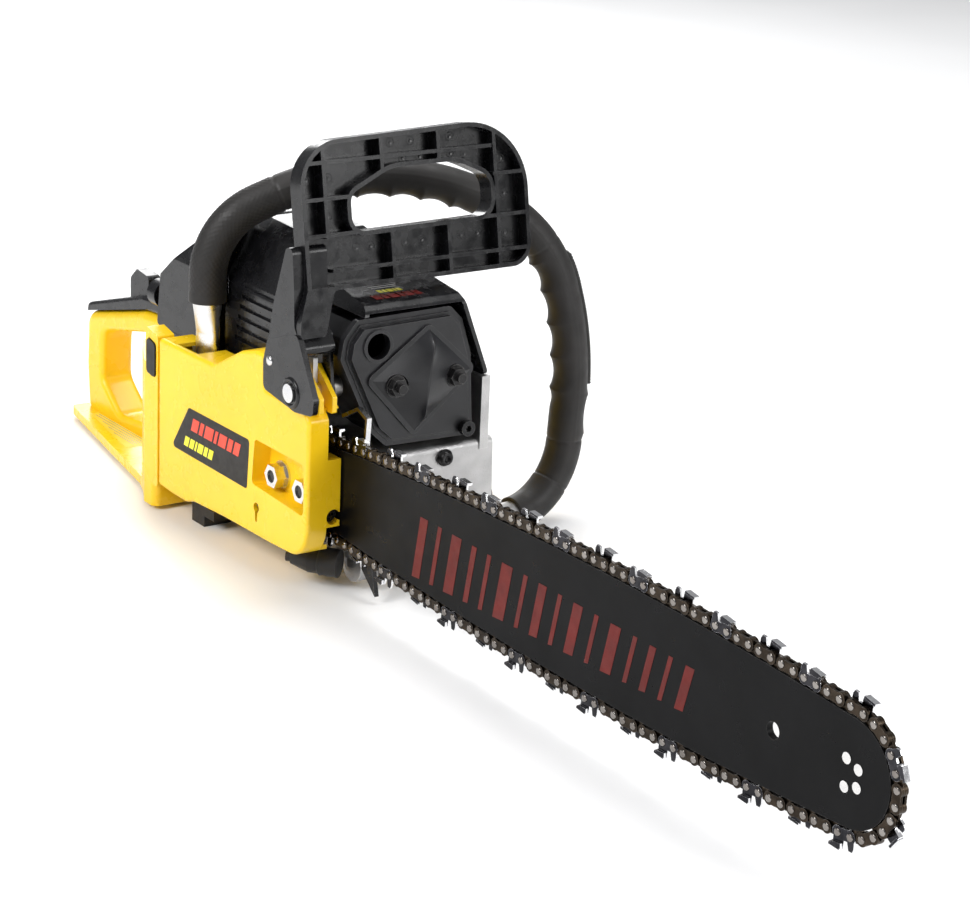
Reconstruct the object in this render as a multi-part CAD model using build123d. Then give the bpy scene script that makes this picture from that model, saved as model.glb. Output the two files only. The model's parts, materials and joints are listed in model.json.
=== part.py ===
from build123d import *
import math
import os

# Petrol chainsaw, 58 cc class, with a 20 inch guide bar.
# Frame: +X points forward along the bar, +Y to the saw's left, +Z up, millimetres.
# The origin lies on the ground, under the crankshaft, in the middle plane of the bar.

os.makedirs("parts", exist_ok=True)

# ---------------------------------------------------------------- driving dimensions
BAR_Z = 66.0                # height of the bar and the crankshaft above the ground
NOSE_X = 546.0              # nose sprocket axis, ahead of the crankshaft
BAR_THICK = 4.0
BAR_INSET = 4.2             # bar edge inside the line of the chain rivets
NOSE_R = 32.0               # rivet line radius round the nose sprocket
DRIVE_R = 18.9              # rivet line radius round the drive sprocket
CREST_BACK = 200.0          # widest place of the bar, behind the nose axis
CREST_H = 39.2              # half height of the rivet line at the widest place
TAIL_X = 91.0               # where the chain leaves the tail of the bar
RIVET_COUNT = 152           # 76 drive links of 0.325 inch pitch chain
ROW_SPLIT = 0.38            # drive link holes are this much closer than strap holes
STUD_XS = (54.5, 86.4)      # bar studs, in front of the crankshaft
TENSION_Y, TENSION_Z = -7.2, BAR_Z - 14    # axis of the tension screw

ENGINE_Y = 45.0             # middle plane of the cylinder and the rear handle
STROKE = 32.0
BORE_R = 23.75
INTAKE_Z, EXHAUST_Z = 122.0, 124.0    # heights of the cylinder ports
WEB_R = 34.0
COVER_OUT = -26.0           # outer face of the clutch cover
COVER_IN = -3.0             # its open edge, beside the bar
SHELL = 2.5

PIVOT = (87.5, 128.5)       # chain brake guard pivot, x and z
RING_FOOT = (91.0, 190.0)   # front rim of the guard's ring at its lower edge, x and z
RING_LEAN = -10.0           # degrees the ring leans, backward at rest
TUBE_R = 9.5                # front handle tube
BOOT_PLACE = Pos(64, -16.5, 17.5) * Rot(0, 0, 40) * Rot(0, 91.5, 0)    # front mount, pointing left and down
GRIP_R = 12.0


# ---------------------------------------------------------------- helpers
def outline(points, radius):
    """Closed face from corner points, with the corners rounded."""
    if radius:
        return make_face(FilletPolyline(*points, radius=radius, close=True))
    return make_face(Polyline(*points, close=True))


def side_prism(points, y_low, y_high, radius=0):
    """Corner points are (x, z); the block runs across the saw."""
    plane = Plane(origin=(0, y_high, 0), x_dir=(1, 0, 0), z_dir=(0, -1, 0))
    return extrude(plane * outline(points, radius), y_high - y_low)


def front_prism(points, x_low, x_high, radius=0):
    """Corner points are (y, z); the block runs along the saw."""
    plane = Plane(origin=(x_low, 0, 0), x_dir=(0, 1, 0), z_dir=(1, 0, 0))
    return extrude(plane * outline(points, radius), x_high - x_low)


def top_prism(points, z_low, z_high, radius=0):
    """Corner points are (x, y); the block runs upwards."""
    plane = Plane(origin=(0, 0, z_low), x_dir=(1, 0, 0), z_dir=(0, 0, 1))
    return extrude(plane * outline(points, radius), z_high - z_low)


def cyl_x(y, z, r, x_low, x_high):
    return Pos((x_low + x_high) / 2, y, z) * Rot(0, 90, 0) * Cylinder(r, x_high - x_low)


def cyl_y(x, z, r, y_low, y_high):
    return Pos(x, (y_low + y_high) / 2, z) * Rot(90, 0, 0) * Cylinder(r, y_high - y_low)


def cyl_z(x, y, r, z_low, z_high):
    return Pos(x, y, (z_low + z_high) / 2) * Cylinder(r, z_high - z_low)


def block(x_low, x_high, y_low, y_high, z_low, z_high):
    centre = Pos((x_low + x_high) / 2, (y_low + y_high) / 2, (z_low + z_high) / 2)
    return centre * Box(x_high - x_low, y_high - y_low, z_high - z_low)


def ring(shape_at, outer, inner):
    """A tube made by one of the cylinder helpers with two radii."""
    return shape_at(outer) - shape_at(inner)


def hex_bar_y(x, z, across, y_low, y_high):
    plane = Plane(origin=(x, y_high, z), x_dir=(1, 0, 0), z_dir=(0, -1, 0))
    return extrude(plane * RegularPolygon(across / math.sqrt(3), 6), y_high - y_low)


def hex_bar_x(y, z, across, x_low, x_high):
    plane = Plane(origin=(x_low, y, z), x_dir=(0, 1, 0), z_dir=(1, 0, 0))
    return extrude(plane * RegularPolygon(across / math.sqrt(3), 6), x_high - x_low)


def turned(shape, angle):
    """Turn a shape about the crankshaft."""
    return Pos(0, 0, BAR_Z) * Rot(0, angle, 0) * Pos(0, 0, -BAR_Z) * shape


def save(shape, node):
    solids = shape.solids()
    out = solids[0] if len(solids) == 1 else Compound(children=list(solids))
    out.label = node
    export_step(out, "parts/" + node + ".step")


def save_group(pieces, node):
    """Identical or loose pieces that share a node, each one a separate solid."""
    solids = [solid for piece in pieces for solid in piece.solids()]
    save(Compound(children=solids), node)


# ---------------------------------------------------------------- line of the front handle
LEG_Y = -9.0                # right leg of the handle
LEG_FOOT, LEG_ROUND = 98.0, 158.0
HOOP_CORNERS = [(50.3, 226.5), (125, 228), (186, 189), (204, 115), (199, TUBE_R + 0.2)]
HOOP_RADII = [52, 120, 150, 85, 220, 46]
GRIP_ENDS = (0.0, 0.836)    # shares of the bent tube's length where the grip starts and stops


def hoop_x(y):
    """The hoop stands in a vertical plane that runs forward towards the left hand."""
    return -48.9 + (y - LEG_Y) * 0.463


def handle_wire():
    corners = [(hoop_x(LEG_Y), LEG_Y, LEG_ROUND - 10), (hoop_x(LEG_Y), LEG_Y, 196.6)]
    corners += [(hoop_x(y), y, z) for y, z in HOOP_CORNERS]
    corners.append((64, 66.3, TUBE_R + 0.2))
    return FilletPolyline(*corners, radius=HOOP_RADII)


def tube_along(wire, radius):
    profile = Plane(origin=wire @ 0, z_dir=wire % 0) * Circle(radius)
    return sweep(profile, path=wire)


def scallop(cover, outer):
    """Hollow out a shell where the front handle's grip passes, keeping its wall closed."""
    wire = handle_wire()
    cover += outer & tube_along(wire, GRIP_R + 1.2 + SHELL)
    return cover - tube_along(wire, GRIP_R + 1.2)


# ---------------------------------------------------------------- line of the chain rivets
FRONT_BELLY_R = (CREST_BACK**2 + (CREST_H - NOSE_R) ** 2) / (2 * (CREST_H - NOSE_R)) + NOSE_R
REAR_BELLY_R = 3590.0
CREST_X = NOSE_X - CREST_BACK


def belly_height(x):
    """Half height of the rivet line above the bar's middle, on the curved edge."""
    radius = FRONT_BELLY_R if x > CREST_X else REAR_BELLY_R
    return CREST_H - radius + math.sqrt(radius**2 - (x - CREST_X) ** 2)


def tail_slope():
    """Slope of the straight stretch from the bar's tail to the drive sprocket."""
    height = belly_height(TAIL_X)
    reach = math.hypot(TAIL_X, height)
    return math.atan2(height, TAIL_X) - math.asin(DRIVE_R / reach)


TAIL_ANGLE = tail_slope()
NOSE_TOUCH = math.asin(CREST_BACK / (FRONT_BELLY_R - NOSE_R))


def upper_line():
    """Pieces of the rivet line from the drive sprocket's rear to the tip of the nose."""
    pieces = []
    turn = math.pi / 2 + TAIL_ANGLE
    pieces.append(("arc", (0.0, 0.0), DRIVE_R, math.pi, turn))
    start = (DRIVE_R * math.cos(turn), DRIVE_R * math.sin(turn))
    end = (TAIL_X, belly_height(TAIL_X))
    pieces.append(("line", start, end))
    rear_centre = (CREST_X, CREST_H - REAR_BELLY_R)
    rear_from = math.atan2(end[1] - rear_centre[1], end[0] - rear_centre[0])
    pieces.append(("arc", rear_centre, REAR_BELLY_R, rear_from, math.pi / 2))
    front_centre = (CREST_X, CREST_H - FRONT_BELLY_R)
    front_to = math.pi / 2 - NOSE_TOUCH
    pieces.append(("arc", front_centre, FRONT_BELLY_R, math.pi / 2, front_to))
    pieces.append(("arc", (NOSE_X, 0.0), NOSE_R, front_to, 0.0))
    return pieces


def piece_length(piece):
    if piece[0] == "line":
        return math.dist(piece[1], piece[2])
    return piece[2] * abs(piece[4] - piece[3])


UPPER = upper_line()
HALF_LOOP = sum(piece_length(piece) for piece in UPPER)
LOOP = 2 * HALF_LOOP


def rivet_point(distance):
    """Place (x, z from the bar's middle) at a distance along the loop, from the rear."""
    distance %= LOOP
    mirrored = distance > HALF_LOOP
    left = LOOP - distance if mirrored else distance
    x = z = 0.0
    for piece in UPPER:
        length = piece_length(piece)
        if left > length and piece is not UPPER[-1]:
            left -= length
            continue
        share = left / length
        if piece[0] == "line":
            x = piece[1][0] + share * (piece[2][0] - piece[1][0])
            z = piece[1][1] + share * (piece[2][1] - piece[1][1])
        else:
            angle = piece[3] + share * (piece[4] - piece[3])
            x = piece[1][0] + piece[2] * math.cos(angle)
            z = piece[1][1] + piece[2] * math.sin(angle)
        break
    return (x, -z) if mirrored else (x, z)


STEP_LENGTH = LOOP / RIVET_COUNT
FIRST_RIVET = 112.0         # from the rear of the drive sprocket to the first counted rivet
print("chain: loop", round(LOOP, 1), "mm, rivet spacing", round(STEP_LENGTH, 3), "mm")


def link_place(index):
    """Frame of the link between rivets index and index+1: middle point and angle."""
    split = ROW_SPLIT if index % 2 else -ROW_SPLIT
    start = rivet_point(FIRST_RIVET + index * STEP_LENGTH + split / 2)
    end = rivet_point(FIRST_RIVET + (index + 1) * STEP_LENGTH - split / 2)
    angle = math.degrees(math.atan2(end[1] - start[1], end[0] - start[0]))
    middle = ((start[0] + end[0]) / 2, (start[1] + end[1]) / 2)
    return middle, angle


def on_chain(shape, index):
    """Move a link modelled at the origin, +Z outwards, to its place on the loop."""
    (x, z), angle = link_place(index)
    return Pos(x, 0, z + BAR_Z) * Rot(0, -angle, 0) * shape


# ---------------------------------------------------------------- guide bar and chain
def bar_outline(inset):
    """The bar's edge, a fixed distance inside the rivet line."""
    crest = (CREST_X, BAR_Z + CREST_H - inset)
    nose_angle = math.pi / 2 - NOSE_TOUCH
    nose_r = NOSE_R - inset
    touch_x = NOSE_X + nose_r * math.cos(nose_angle)
    touch_z = nose_r * math.sin(nose_angle)
    mid_front = (CREST_X + touch_x) / 2
    mid_rear = (CREST_X + TAIL_X) / 2
    tail_z = belly_height(TAIL_X) - inset
    end_x = 40.0 + inset - BAR_INSET
    end_z = tail_z - (TAIL_X - end_x) * math.tan(TAIL_ANGLE) - 1.0
    edges = Curve()
    for sign in (1, -1):
        edges += Line((end_x, BAR_Z + sign * end_z), (TAIL_X, BAR_Z + sign * tail_z))
        edges += ThreePointArc(
            (TAIL_X, BAR_Z + sign * tail_z),
            (mid_rear, BAR_Z + sign * (belly_height(mid_rear) - inset)),
            (CREST_X, BAR_Z + sign * (crest[1] - BAR_Z)),
        )
        edges += ThreePointArc(
            (CREST_X, BAR_Z + sign * (crest[1] - BAR_Z)),
            (mid_front, BAR_Z + sign * (belly_height(mid_front) - inset)),
            (touch_x, BAR_Z + sign * touch_z),
        )
    edges += ThreePointArc((touch_x, BAR_Z + touch_z), (NOSE_X + nose_r, BAR_Z), (touch_x, BAR_Z - touch_z))
    edges += ThreePointArc((end_x, BAR_Z + end_z), (end_x - 9.0, BAR_Z), (end_x, BAR_Z - end_z))
    return make_face(edges)


def bar_slab(inset, thickness):
    plane = Plane(origin=(0, thickness / 2, 0), x_dir=(1, 0, 0), z_dir=(0, -1, 0))
    return extrude(plane * bar_outline(inset), thickness)


GROOVE = 1.8
NOSE_RIVETS = ((543.6, 6.4), (552.0, 3.6), (543.6, -8.2), (551.9, -5.6))
SPROCKET_HUB_R = 11.0


def make_bar():
    bar = bar_slab(BAR_INSET, BAR_THICK)
    bar -= bar_slab(BAR_INSET, GROOVE) - bar_slab(BAR_INSET + 8.6, GROOVE)
    bar -= cyl_y(NOSE_X, BAR_Z, 25.0, -GROOVE / 2, GROOVE / 2)
    bar += cyl_y(NOSE_X, BAR_Z, SPROCKET_HUB_R, -BAR_THICK / 2, BAR_THICK / 2)
    slot = block(50.0, 91.0, -3, 3, BAR_Z - 4.3, BAR_Z + 4.3)
    slot += cyl_y(50.0, BAR_Z, 4.3, -3, 3) + cyl_y(91.0, BAR_Z, 4.3, -3, 3)
    bar -= slot
    bar -= cyl_y(70.0, BAR_Z - 14.0, 4.0, -3, 3) + cyl_y(70.0, BAR_Z + 14.0, 4.0, -3, 3)
    bar -= cyl_y(NOSE_X - 54.4, BAR_Z, 4.6, -3, 3)
    for x, z in NOSE_RIVETS:
        bar -= cyl_y(x, BAR_Z + z, 2.6, -3, 3)
    return bar


def make_nose_sprocket():
    """Twelve teeth, kept short of the drive links, on a ring inside the bar's nose."""
    teeth = 12
    root_r = 19.0
    tip_r = 23.4
    points = []
    for i in range(teeth):
        base = 2 * math.pi * i / teeth
        for offset, radius in ((-0.19, root_r), (-0.06, tip_r), (0.06, tip_r), (0.19, root_r)):
            angle = base + offset
            points.append((NOSE_X + radius * math.cos(angle), BAR_Z + radius * math.sin(angle)))
    wheel = side_prism(points, -0.7, 0.7)
    return wheel - cyl_y(NOSE_X, BAR_Z, SPROCKET_HUB_R + 0.1, -2, 2)


PLATE_HALF = 3.5
HOLE_R = 1.85
RIVET_R = 1.8
DRIVE_HALF_T = 0.75
STRAP_IN = 0.8
STRAP_OUT = 2.1


def link_stadium(spacing, y_low, y_high):
    """Figure of a link plate: round ends on both rivets and a straight waist."""
    half = spacing / 2
    plate = cyl_y(-half, 0, PLATE_HALF, y_low, y_high) + cyl_y(half, 0, PLATE_HALF, y_low, y_high)
    plate += side_prism([(-half, -2.9), (half, -2.9), (half, 2.9), (-half, 2.9)], y_low, y_high)
    return plate


def drill(plate, spacing):
    for x in (-spacing / 2, spacing / 2):
        plate -= cyl_y(x, 0, HOLE_R, -6, 6)
    return plate


WIDE = STEP_LENGTH + ROW_SPLIT
NARROW = STEP_LENGTH - ROW_SPLIT


def make_drive_link():
    link = link_stadium(NARROW, -DRIVE_HALF_T, DRIVE_HALF_T)
    tang = [(-4.6, -1.5), (-2.6, -7.0), (-0.6, -7.6), (2.0, -6.6), (4.6, -1.5)]
    link += side_prism(tang, -DRIVE_HALF_T, DRIVE_HALF_T)
    return drill(link, NARROW)


def make_strap(side):
    low, high = sorted((side * STRAP_IN, side * STRAP_OUT))
    return drill(link_stadium(WIDE, low, high), WIDE)


def make_cutter(side):
    """Side plate with depth gauge and a chisel top plate; side is -1 right, +1 left."""
    low, high = sorted((side * STRAP_IN, side * STRAP_OUT))
    cutter = link_stadium(WIDE, low, high)
    gauge = [(-7.2, 0.5), (-7.0, 5.2), (-6.0, 7.2), (-3.4, 7.0), (-2.2, 2.0)]
    heel = [(-0.4, 2.0), (0.4, 7.2), (7.4, 6.3), (6.9, 0.5)]
    cutter += side_prism(gauge, low, high)
    cutter += side_prism(heel, low, high)
    low_top, high_top = sorted((side * 0.2, side * 3.7))
    top_plate = [(low_top, 6.2), (high_top, 6.0), (high_top, 7.4), (low_top, 7.6)]
    cutter += Pos(0, 0, 0.3) * Rot(0, 7, 0) * front_prism(top_plate, 0.4, 8.0)
    low_side, high_side = sorted((side * 2.0, side * 3.7))
    cutter += side_prism([(0.6, 4.4), (0.6, 7.0), (7.2, 6.2), (7.2, 4.6)], low_side, high_side)
    return drill(cutter, WIDE)


def make_rivet():
    shank = cyl_y(0, 0, RIVET_R, -2.15, 2.15)
    for side in (-1, 1):
        low, high = sorted((side * 2.15, side * 2.9))
        shank += cyl_y(0, 0, 2.1, low, high)
    return shank


def make_chain():
    drive_link = make_drive_link()
    strap = {-1: make_strap(-1), 1: make_strap(1)}
    cutter = {-1: make_cutter(-1), 1: make_cutter(1)}
    rivet = make_rivet()
    groups = {"drive_links": [], "tie_straps": [], "cutters": [], "chain_rivets": []}
    for i in range(RIVET_COUNT):
        split = -ROW_SPLIT if i % 2 else ROW_SPLIT
        x, z = rivet_point(FIRST_RIVET + i * STEP_LENGTH - split / 2)
        groups["chain_rivets"].append(Pos(x, 0, z + BAR_Z) * rivet)
        if i % 2:
            groups["drive_links"].append(on_chain(drive_link, i))
            continue
        kind = i % 8
        for side in (-1, 1):
            is_cutter = (kind == 4 and side == -1) or (kind == 0 and side == 1)
            if is_cutter:
                groups["cutters"].append(on_chain(cutter[side], i))
            else:
                groups["tie_straps"].append(on_chain(strap[side], i))
    for name, pieces in groups.items():
        save_group(pieces, name)


def make_bar_rivets():
    pieces = []
    for x, z in NOSE_RIVETS:
        rivet = cyl_y(x, BAR_Z + z, 2.5, -2.0, 2.0)
        rivet += cyl_y(x, BAR_Z + z, 2.9, -2.35, -2.0) + cyl_y(x, BAR_Z + z, 2.9, 2.0, 2.35)
        pieces.append(rivet)
    return pieces


save(make_bar(), "guide_bar")
save(make_nose_sprocket(), "nose_sprocket")
save_group(make_bar_rivets(), "nose_rivets")
make_chain()


# ---------------------------------------------------------------- clutch side
COVER_EDGE = [
    (-81, 20), (-63, 19), (-45, 19), (-36, 22), (3, 24), (61, 25), (101, 27),
    (101, 113), (96, 119.5), (50, 119.5), (50, 141), (39, 141), (21, 136), (-11, 119), (-81, 118),
]
RECESS = [(37, 57), (40, 86), (97, 86), (97, 54)]
COVER_CORNERS = [3, 3, 3, 3, 3, 10, 20, 3, 3, 3, 3, 4, 12, 12, 3]
RECESS_FLOOR = -14.0


def inset_points(points, centre, share):
    """Corner points drawn towards a centre, for the inside of a shell."""
    return [(centre[0] + (x - centre[0]) * share, centre[1] + (z - centre[1]) * share) for x, z in points]


def make_clutch_cover():
    cover = side_prism(COVER_EDGE, COVER_OUT, COVER_IN, COVER_CORNERS)
    face_edges = cover.edges().filter_by_position(Axis.Y, COVER_OUT - 0.01, COVER_OUT + 0.01)
    cover = fillet(face_edges, 2.4)
    plane = Plane(origin=(0, COVER_IN + 1, 0), x_dir=(1, 0, 0), z_dir=(0, -1, 0))
    inner = offset(outline(COVER_EDGE, COVER_CORNERS), amount=-SHELL)
    cover -= extrude(plane * inner, COVER_IN + 1 - COVER_OUT - SHELL)
    pocket = [(34.5, 51), (35, 88), (99, 88), (99, 51)]
    cover += side_prism(pocket, COVER_OUT + 1, RECESS_FLOOR + SHELL, 3.0)
    cover -= side_prism(RECESS, COVER_OUT - 1, RECESS_FLOOR, 3.0)
    clamp = block(46, 97, RECESS_FLOOR + 1, COVER_IN + 0.9, BAR_Z - 10, BAR_Z + 10)
    cover += clamp
    cover -= block(90, 110, -12.0, 0, 20, BAR_Z - 20) + block(56, 110, -4.6, 0, 20, BAR_Z - 20)
    cover -= block(-62, -36, -22.5, 0, 100, 125)
    cover -= block(90, 110, -12.0, 0, BAR_Z + 22, 118)
    flange = block(89, 97.5, -12, COVER_IN, BAR_Z - 20, BAR_Z + 22)
    cover += flange
    for x in STUD_XS:
        cover -= cyl_y(x, BAR_Z, 4.3, -20, 0)
    cover -= cyl_x(TENSION_Y, TENSION_Z, 2.6, 80, 120) + cyl_x(TENSION_Y, TENSION_Z, 4.9, 92, 120)
    cover -= cyl_y(43, 43, 3.2, COVER_OUT - 1, COVER_OUT + 4)
    cover -= side_prism([(41, 44), (45, 44), (44, 34), (42, 34)], COVER_OUT - 1, COVER_OUT + 4)
    for low, high in ((-20.0, -17.0), (-11.0, -8.0)):
        cover += side_prism([(86, 117), (76, 140), (84, 143), (103, 127), (103, 117)], low, high, 1.5)
    return cover - cyl_y(PIVOT[0], PIVOT[1], 4.05, -22, 0)


def make_bar_nuts():
    nuts = []
    for x in STUD_XS:
        nut = hex_bar_y(x, BAR_Z, 13.0, -23.0, -15.6)
        nut += cyl_y(x, BAR_Z, 8.6, -15.6, RECESS_FLOOR)
        nuts.append(nut - cyl_y(x, BAR_Z, 3.95, -30, 0))
    return nuts


def make_bar_studs():
    studs = []
    for x in STUD_XS:
        studs.append(cyl_y(x, BAR_Z, 3.95, -22.0, 16.0) + cyl_y(x, BAR_Z, 6.0, 2.1, 6.0))
    return studs


def make_tension_screw():
    screw = cyl_x(TENSION_Y, TENSION_Z, 2.5, 70, 92.2) + cyl_x(TENSION_Y, TENSION_Z, 4.4, 92.2, 96.0)
    screw -= block(94.6, 97, -7.9, -6.5, BAR_Z - 17, BAR_Z - 11)
    screw -= block(94.6, 97, -10.2, -4.2, BAR_Z - 14.7, BAR_Z - 13.3)
    return screw


def make_tension_block():
    shoe = block(74, 84, -11.3, -2.6, TENSION_Z - 4.5, TENSION_Z + 3)
    return shoe - cyl_x(TENSION_Y, TENSION_Z, 2.55, 60, 120)


DRUM_R = 30.5
DRUM_LOW, DRUM_HIGH = -20.5, -6.0
DRUM_WALL = 1.8
SPROCKET_TEETH = 7


def make_clutch_drum():
    """Drum, open to the outside, with the drive sprocket and the oil pump worm behind it."""
    drum = cyl_y(0, BAR_Z, DRUM_R, DRUM_LOW, DRUM_HIGH)
    drum -= cyl_y(0, BAR_Z, DRUM_R - DRUM_WALL, DRUM_LOW - 1, DRUM_HIGH - DRUM_WALL)
    points = []
    for i in range(SPROCKET_TEETH):
        base = 2 * math.pi * i / SPROCKET_TEETH
        for turn, radius in ((-0.30, 8.6), (-0.12, 10.6), (0.12, 10.6), (0.30, 8.6)):
            points.append((radius * math.cos(base + turn), BAR_Z + radius * math.sin(base + turn)))
    drum += side_prism(points, -6.2, 5.0)
    drum += cyl_y(0, BAR_Z, 16.5, -6.2, -4.4) + cyl_y(0, BAR_Z, 16.5, 4.4, 5.6)
    drum += cyl_y(0, BAR_Z, 9.0, 5.5, 9.0)
    return drum - cyl_y(0, BAR_Z, 6.05, -30, 20)


def make_clutch_hub():
    """Hub with three shoes; it turns inside the drum with the crankshaft."""
    hub = cyl_y(0, BAR_Z, 13.0, DRUM_LOW + 1, DRUM_HIGH - 3.0)
    for i in range(3):
        arm = block(10, 20, DRUM_LOW + 3, DRUM_HIGH - 4.5, BAR_Z - 5, BAR_Z + 5)
        hub += turned(arm, 120 * i)
    shoes = ring(lambda r: cyl_y(0, BAR_Z, r, DRUM_LOW + 2, DRUM_HIGH - 3.5), DRUM_R - 2.8, DRUM_R - 12.0)
    for i in range(3):
        gap = block(17, 36, DRUM_LOW, DRUM_HIGH, BAR_Z - 2, BAR_Z + 2)
        shoes -= turned(gap, 120 * i + 60)
    hub += shoes
    return hub - cyl_y(0, BAR_Z, 5.95, -30, 0)


def make_brake_band():
    band = ring(lambda r: cyl_y(0, BAR_Z, r, -19.0, -9.0), DRUM_R + 1.8, DRUM_R + 0.8)
    band -= block(10, 60, -25, 0, BAR_Z + 8, BAR_Z + 60)
    band += block(8.5, 10.0, -19.0, -9.0, BAR_Z + 34.4, BAR_Z + 44)
    return band


def make_brake_link():
    """Lever and spring rod that pull the band when the guard is pushed forward."""
    link = side_prism([(12, 110), (12, 116), (44, 132), (48, 126), (20, 108)], -14.0, -10.0, 1.5)
    return link + cyl_y(44, 127, 3.0, -20.0, -6.0)


save(make_clutch_cover(), "clutch_cover")
save_group(make_bar_nuts(), "bar_nuts")
save_group(make_bar_studs(), "bar_studs")
save(make_tension_screw(), "tension_screw")
save(make_tension_block(), "tension_block")
save(make_clutch_drum(), "clutch_drum")
save(make_clutch_hub(), "clutch_hub")
save(make_brake_band(), "brake_band")
save(make_brake_link(), "brake_link")


# ---------------------------------------------------------------- engine
CASE_LOW_Y, CASE_HIGH_Y = 8.0, 104.0
CASE_TOP = 106.0
ROD_Y = ENGINE_Y
WEB_NEAR, WEB_FAR = 5.0, 11.0     # faces of the crank webs, from the rod's middle plane


def make_crankcase():
    edge = [
        (-72, 21), (-72, 88), (-47, 96), (-40, CASE_TOP), (44, CASE_TOP), (52, 88),
        (104, 86), (106, 30), (98, 21),
    ]
    case = side_prism(edge, CASE_LOW_Y, CASE_HIGH_Y, 4.0)
    case += block(34, 104, 2.1, CASE_LOW_Y + 1, BAR_Z - 20, BAR_Z + 19)
    case += block(56, 105, 93.7, 99.7, 80, 126)
    case += cyl_y(92, 15.5, 10.5, 12, 26) + block(82, 100, 12, 26, 15.5, 22)
    case += front_prism([(92, 60), (92, 124), (104, 124), (104, 60)], 78, 84, 2.0)
    case -= cyl_y(0, BAR_Z, WEB_R + 1.5, ROD_Y - 12.5, ROD_Y + 12.5)
    case -= cyl_z(0, ENGINE_Y, BORE_R + 2.3, BAR_Z, CASE_TOP + 1)
    case -= cyl_y(0, BAR_Z, 17.05, 20.0, ROD_Y - 12)
    case -= cyl_y(0, BAR_Z, 17.05, ROD_Y + 12, 70.0)
    case -= cyl_y(0, BAR_Z, 10.0, 0, 21)
    case -= cyl_y(0, BAR_Z, 50.0, 74.0, CASE_HIGH_Y + 1)
    case -= cyl_y(0, BAR_Z, 10.0, 69.0, 75)
    case -= block(58, 100, 14, 70, 24, 78)
    case -= cyl_y(80, 42, 11.0, 69, CASE_HIGH_Y + 1)
    case -= BOOT_PLACE * Pos(0, 0, 28) * Cylinder(9.1, 16)
    for x in STUD_XS:
        case -= cyl_y(x, BAR_Z, 4.0, 0, 16.05) + cyl_y(x, BAR_Z, 6.05, 0, 6.05)
    return case


def make_crankshaft():
    """Two full-disc webs with their shafts; the crankpin is carried by the connecting rod."""
    shaft = cyl_y(0, BAR_Z, WEB_R, ROD_Y - WEB_FAR, ROD_Y - WEB_NEAR)
    shaft += cyl_y(0, BAR_Z, 7.5, 20.0, ROD_Y - WEB_NEAR - 2)
    shaft += cyl_y(0, BAR_Z, 5.9, -19.0, 21.0)
    other = cyl_y(0, BAR_Z, WEB_R, ROD_Y + WEB_NEAR, ROD_Y + WEB_FAR)
    other += cyl_y(0, BAR_Z, 7.5, ROD_Y + WEB_NEAR + 2, 70.0)
    other += cyl_y(0, BAR_Z, 5.9, 69.0, 98.0)
    return [shaft, other]


def make_bearings():
    pieces = []
    for low in (22.0, 57.5):
        pieces.append(ring(lambda r: cyl_y(0, BAR_Z, r, low, low + 10.0), 17.0, 7.55))
    return pieces


PISTON_TOP = 158.0
PIN_Z = PISTON_TOP - 20.0


def make_piston():
    piston = cyl_z(0, ENGINE_Y, BORE_R - 0.08, PISTON_TOP - 36, PISTON_TOP)
    piston -= cyl_z(0, ENGINE_Y, BORE_R - 3.0, PISTON_TOP - 37, PISTON_TOP - 5)
    for drop in (4.0, 8.0):
        groove = cyl_z(0, ENGINE_Y, BORE_R + 1, PISTON_TOP - drop - 1.2, PISTON_TOP - drop)
        piston -= groove - cyl_z(0, ENGINE_Y, BORE_R - 1.2, PISTON_TOP - drop - 2, PISTON_TOP)
    for side in (-1, 1):
        low, high = sorted((ENGINE_Y + side * 8.5, ENGINE_Y + side * 21.5))
        piston += cyl_y(0, PIN_Z, 8.0, low, high)
        low, high = sorted((ROD_Y + side * (WEB_NEAR - 0.4), ROD_Y + side * (WEB_FAR + 0.4)))
        piston -= cyl_y(0, BAR_Z + STROKE, WEB_R + 0.6, low, high)
    return piston - cyl_y(0, PIN_Z, 5.05, ENGINE_Y - 30, ENGINE_Y + 30)


def make_rod():
    """Connecting rod with the crankpin in its big end."""
    big_z = BAR_Z + STROKE / 2
    rod = cyl_y(0, big_z, 10.5, ROD_Y - 4.5, ROD_Y + 4.5)
    rod += block(-5, 5, ROD_Y - 2.5, ROD_Y + 2.5, big_z, PIN_Z)
    rod += cyl_y(0, PIN_Z, 8.0, ROD_Y - 4.5, ROD_Y + 4.5)
    return rod - cyl_y(0, PIN_Z, 5.05, ROD_Y - 10, ROD_Y + 10)


def make_cylinder():
    barrel = cyl_z(0, ENGINE_Y, BORE_R + 4.0, CASE_TOP - 8, 168)
    spigot = cyl_z(0, ENGINE_Y, BORE_R + 2.0, 90, 120)
    barrel -= cyl_z(0, ENGINE_Y, BORE_R + 30, CASE_TOP - 9, CASE_TOP) - spigot
    fins = 8
    for i in range(fins):
        z = 116.0 + 7.4 * i
        low_y = 8 if i < 6 else 14
        half_x = 40 if i > 1 else 34
        fin = top_prism(
            [(-half_x, low_y), (half_x, low_y), (half_x, 79), (-half_x, 79)], z, z + 2.0, 14.0
        )
        barrel += fin
    barrel += top_prism([(-32, 14), (32, 14), (32, 76), (-32, 76)], CASE_TOP, CASE_TOP + 6, 6.0)
    barrel += cyl_x(ENGINE_Y, EXHAUST_Z, 15, 20, 44) + cyl_x(ENGINE_Y, INTAKE_Z, 15, -44, -20)
    barrel -= cyl_x(ENGINE_Y, EXHAUST_Z, 10, 0, 45) + cyl_x(ENGINE_Y, INTAKE_Z, 10, -45, 0)
    barrel -= cyl_z(0, ENGINE_Y, BORE_R, 90, PISTON_TOP + 1.2)
    barrel -= cyl_z(0, ENGINE_Y, 7.05, 150, 180)
    return barrel


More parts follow.
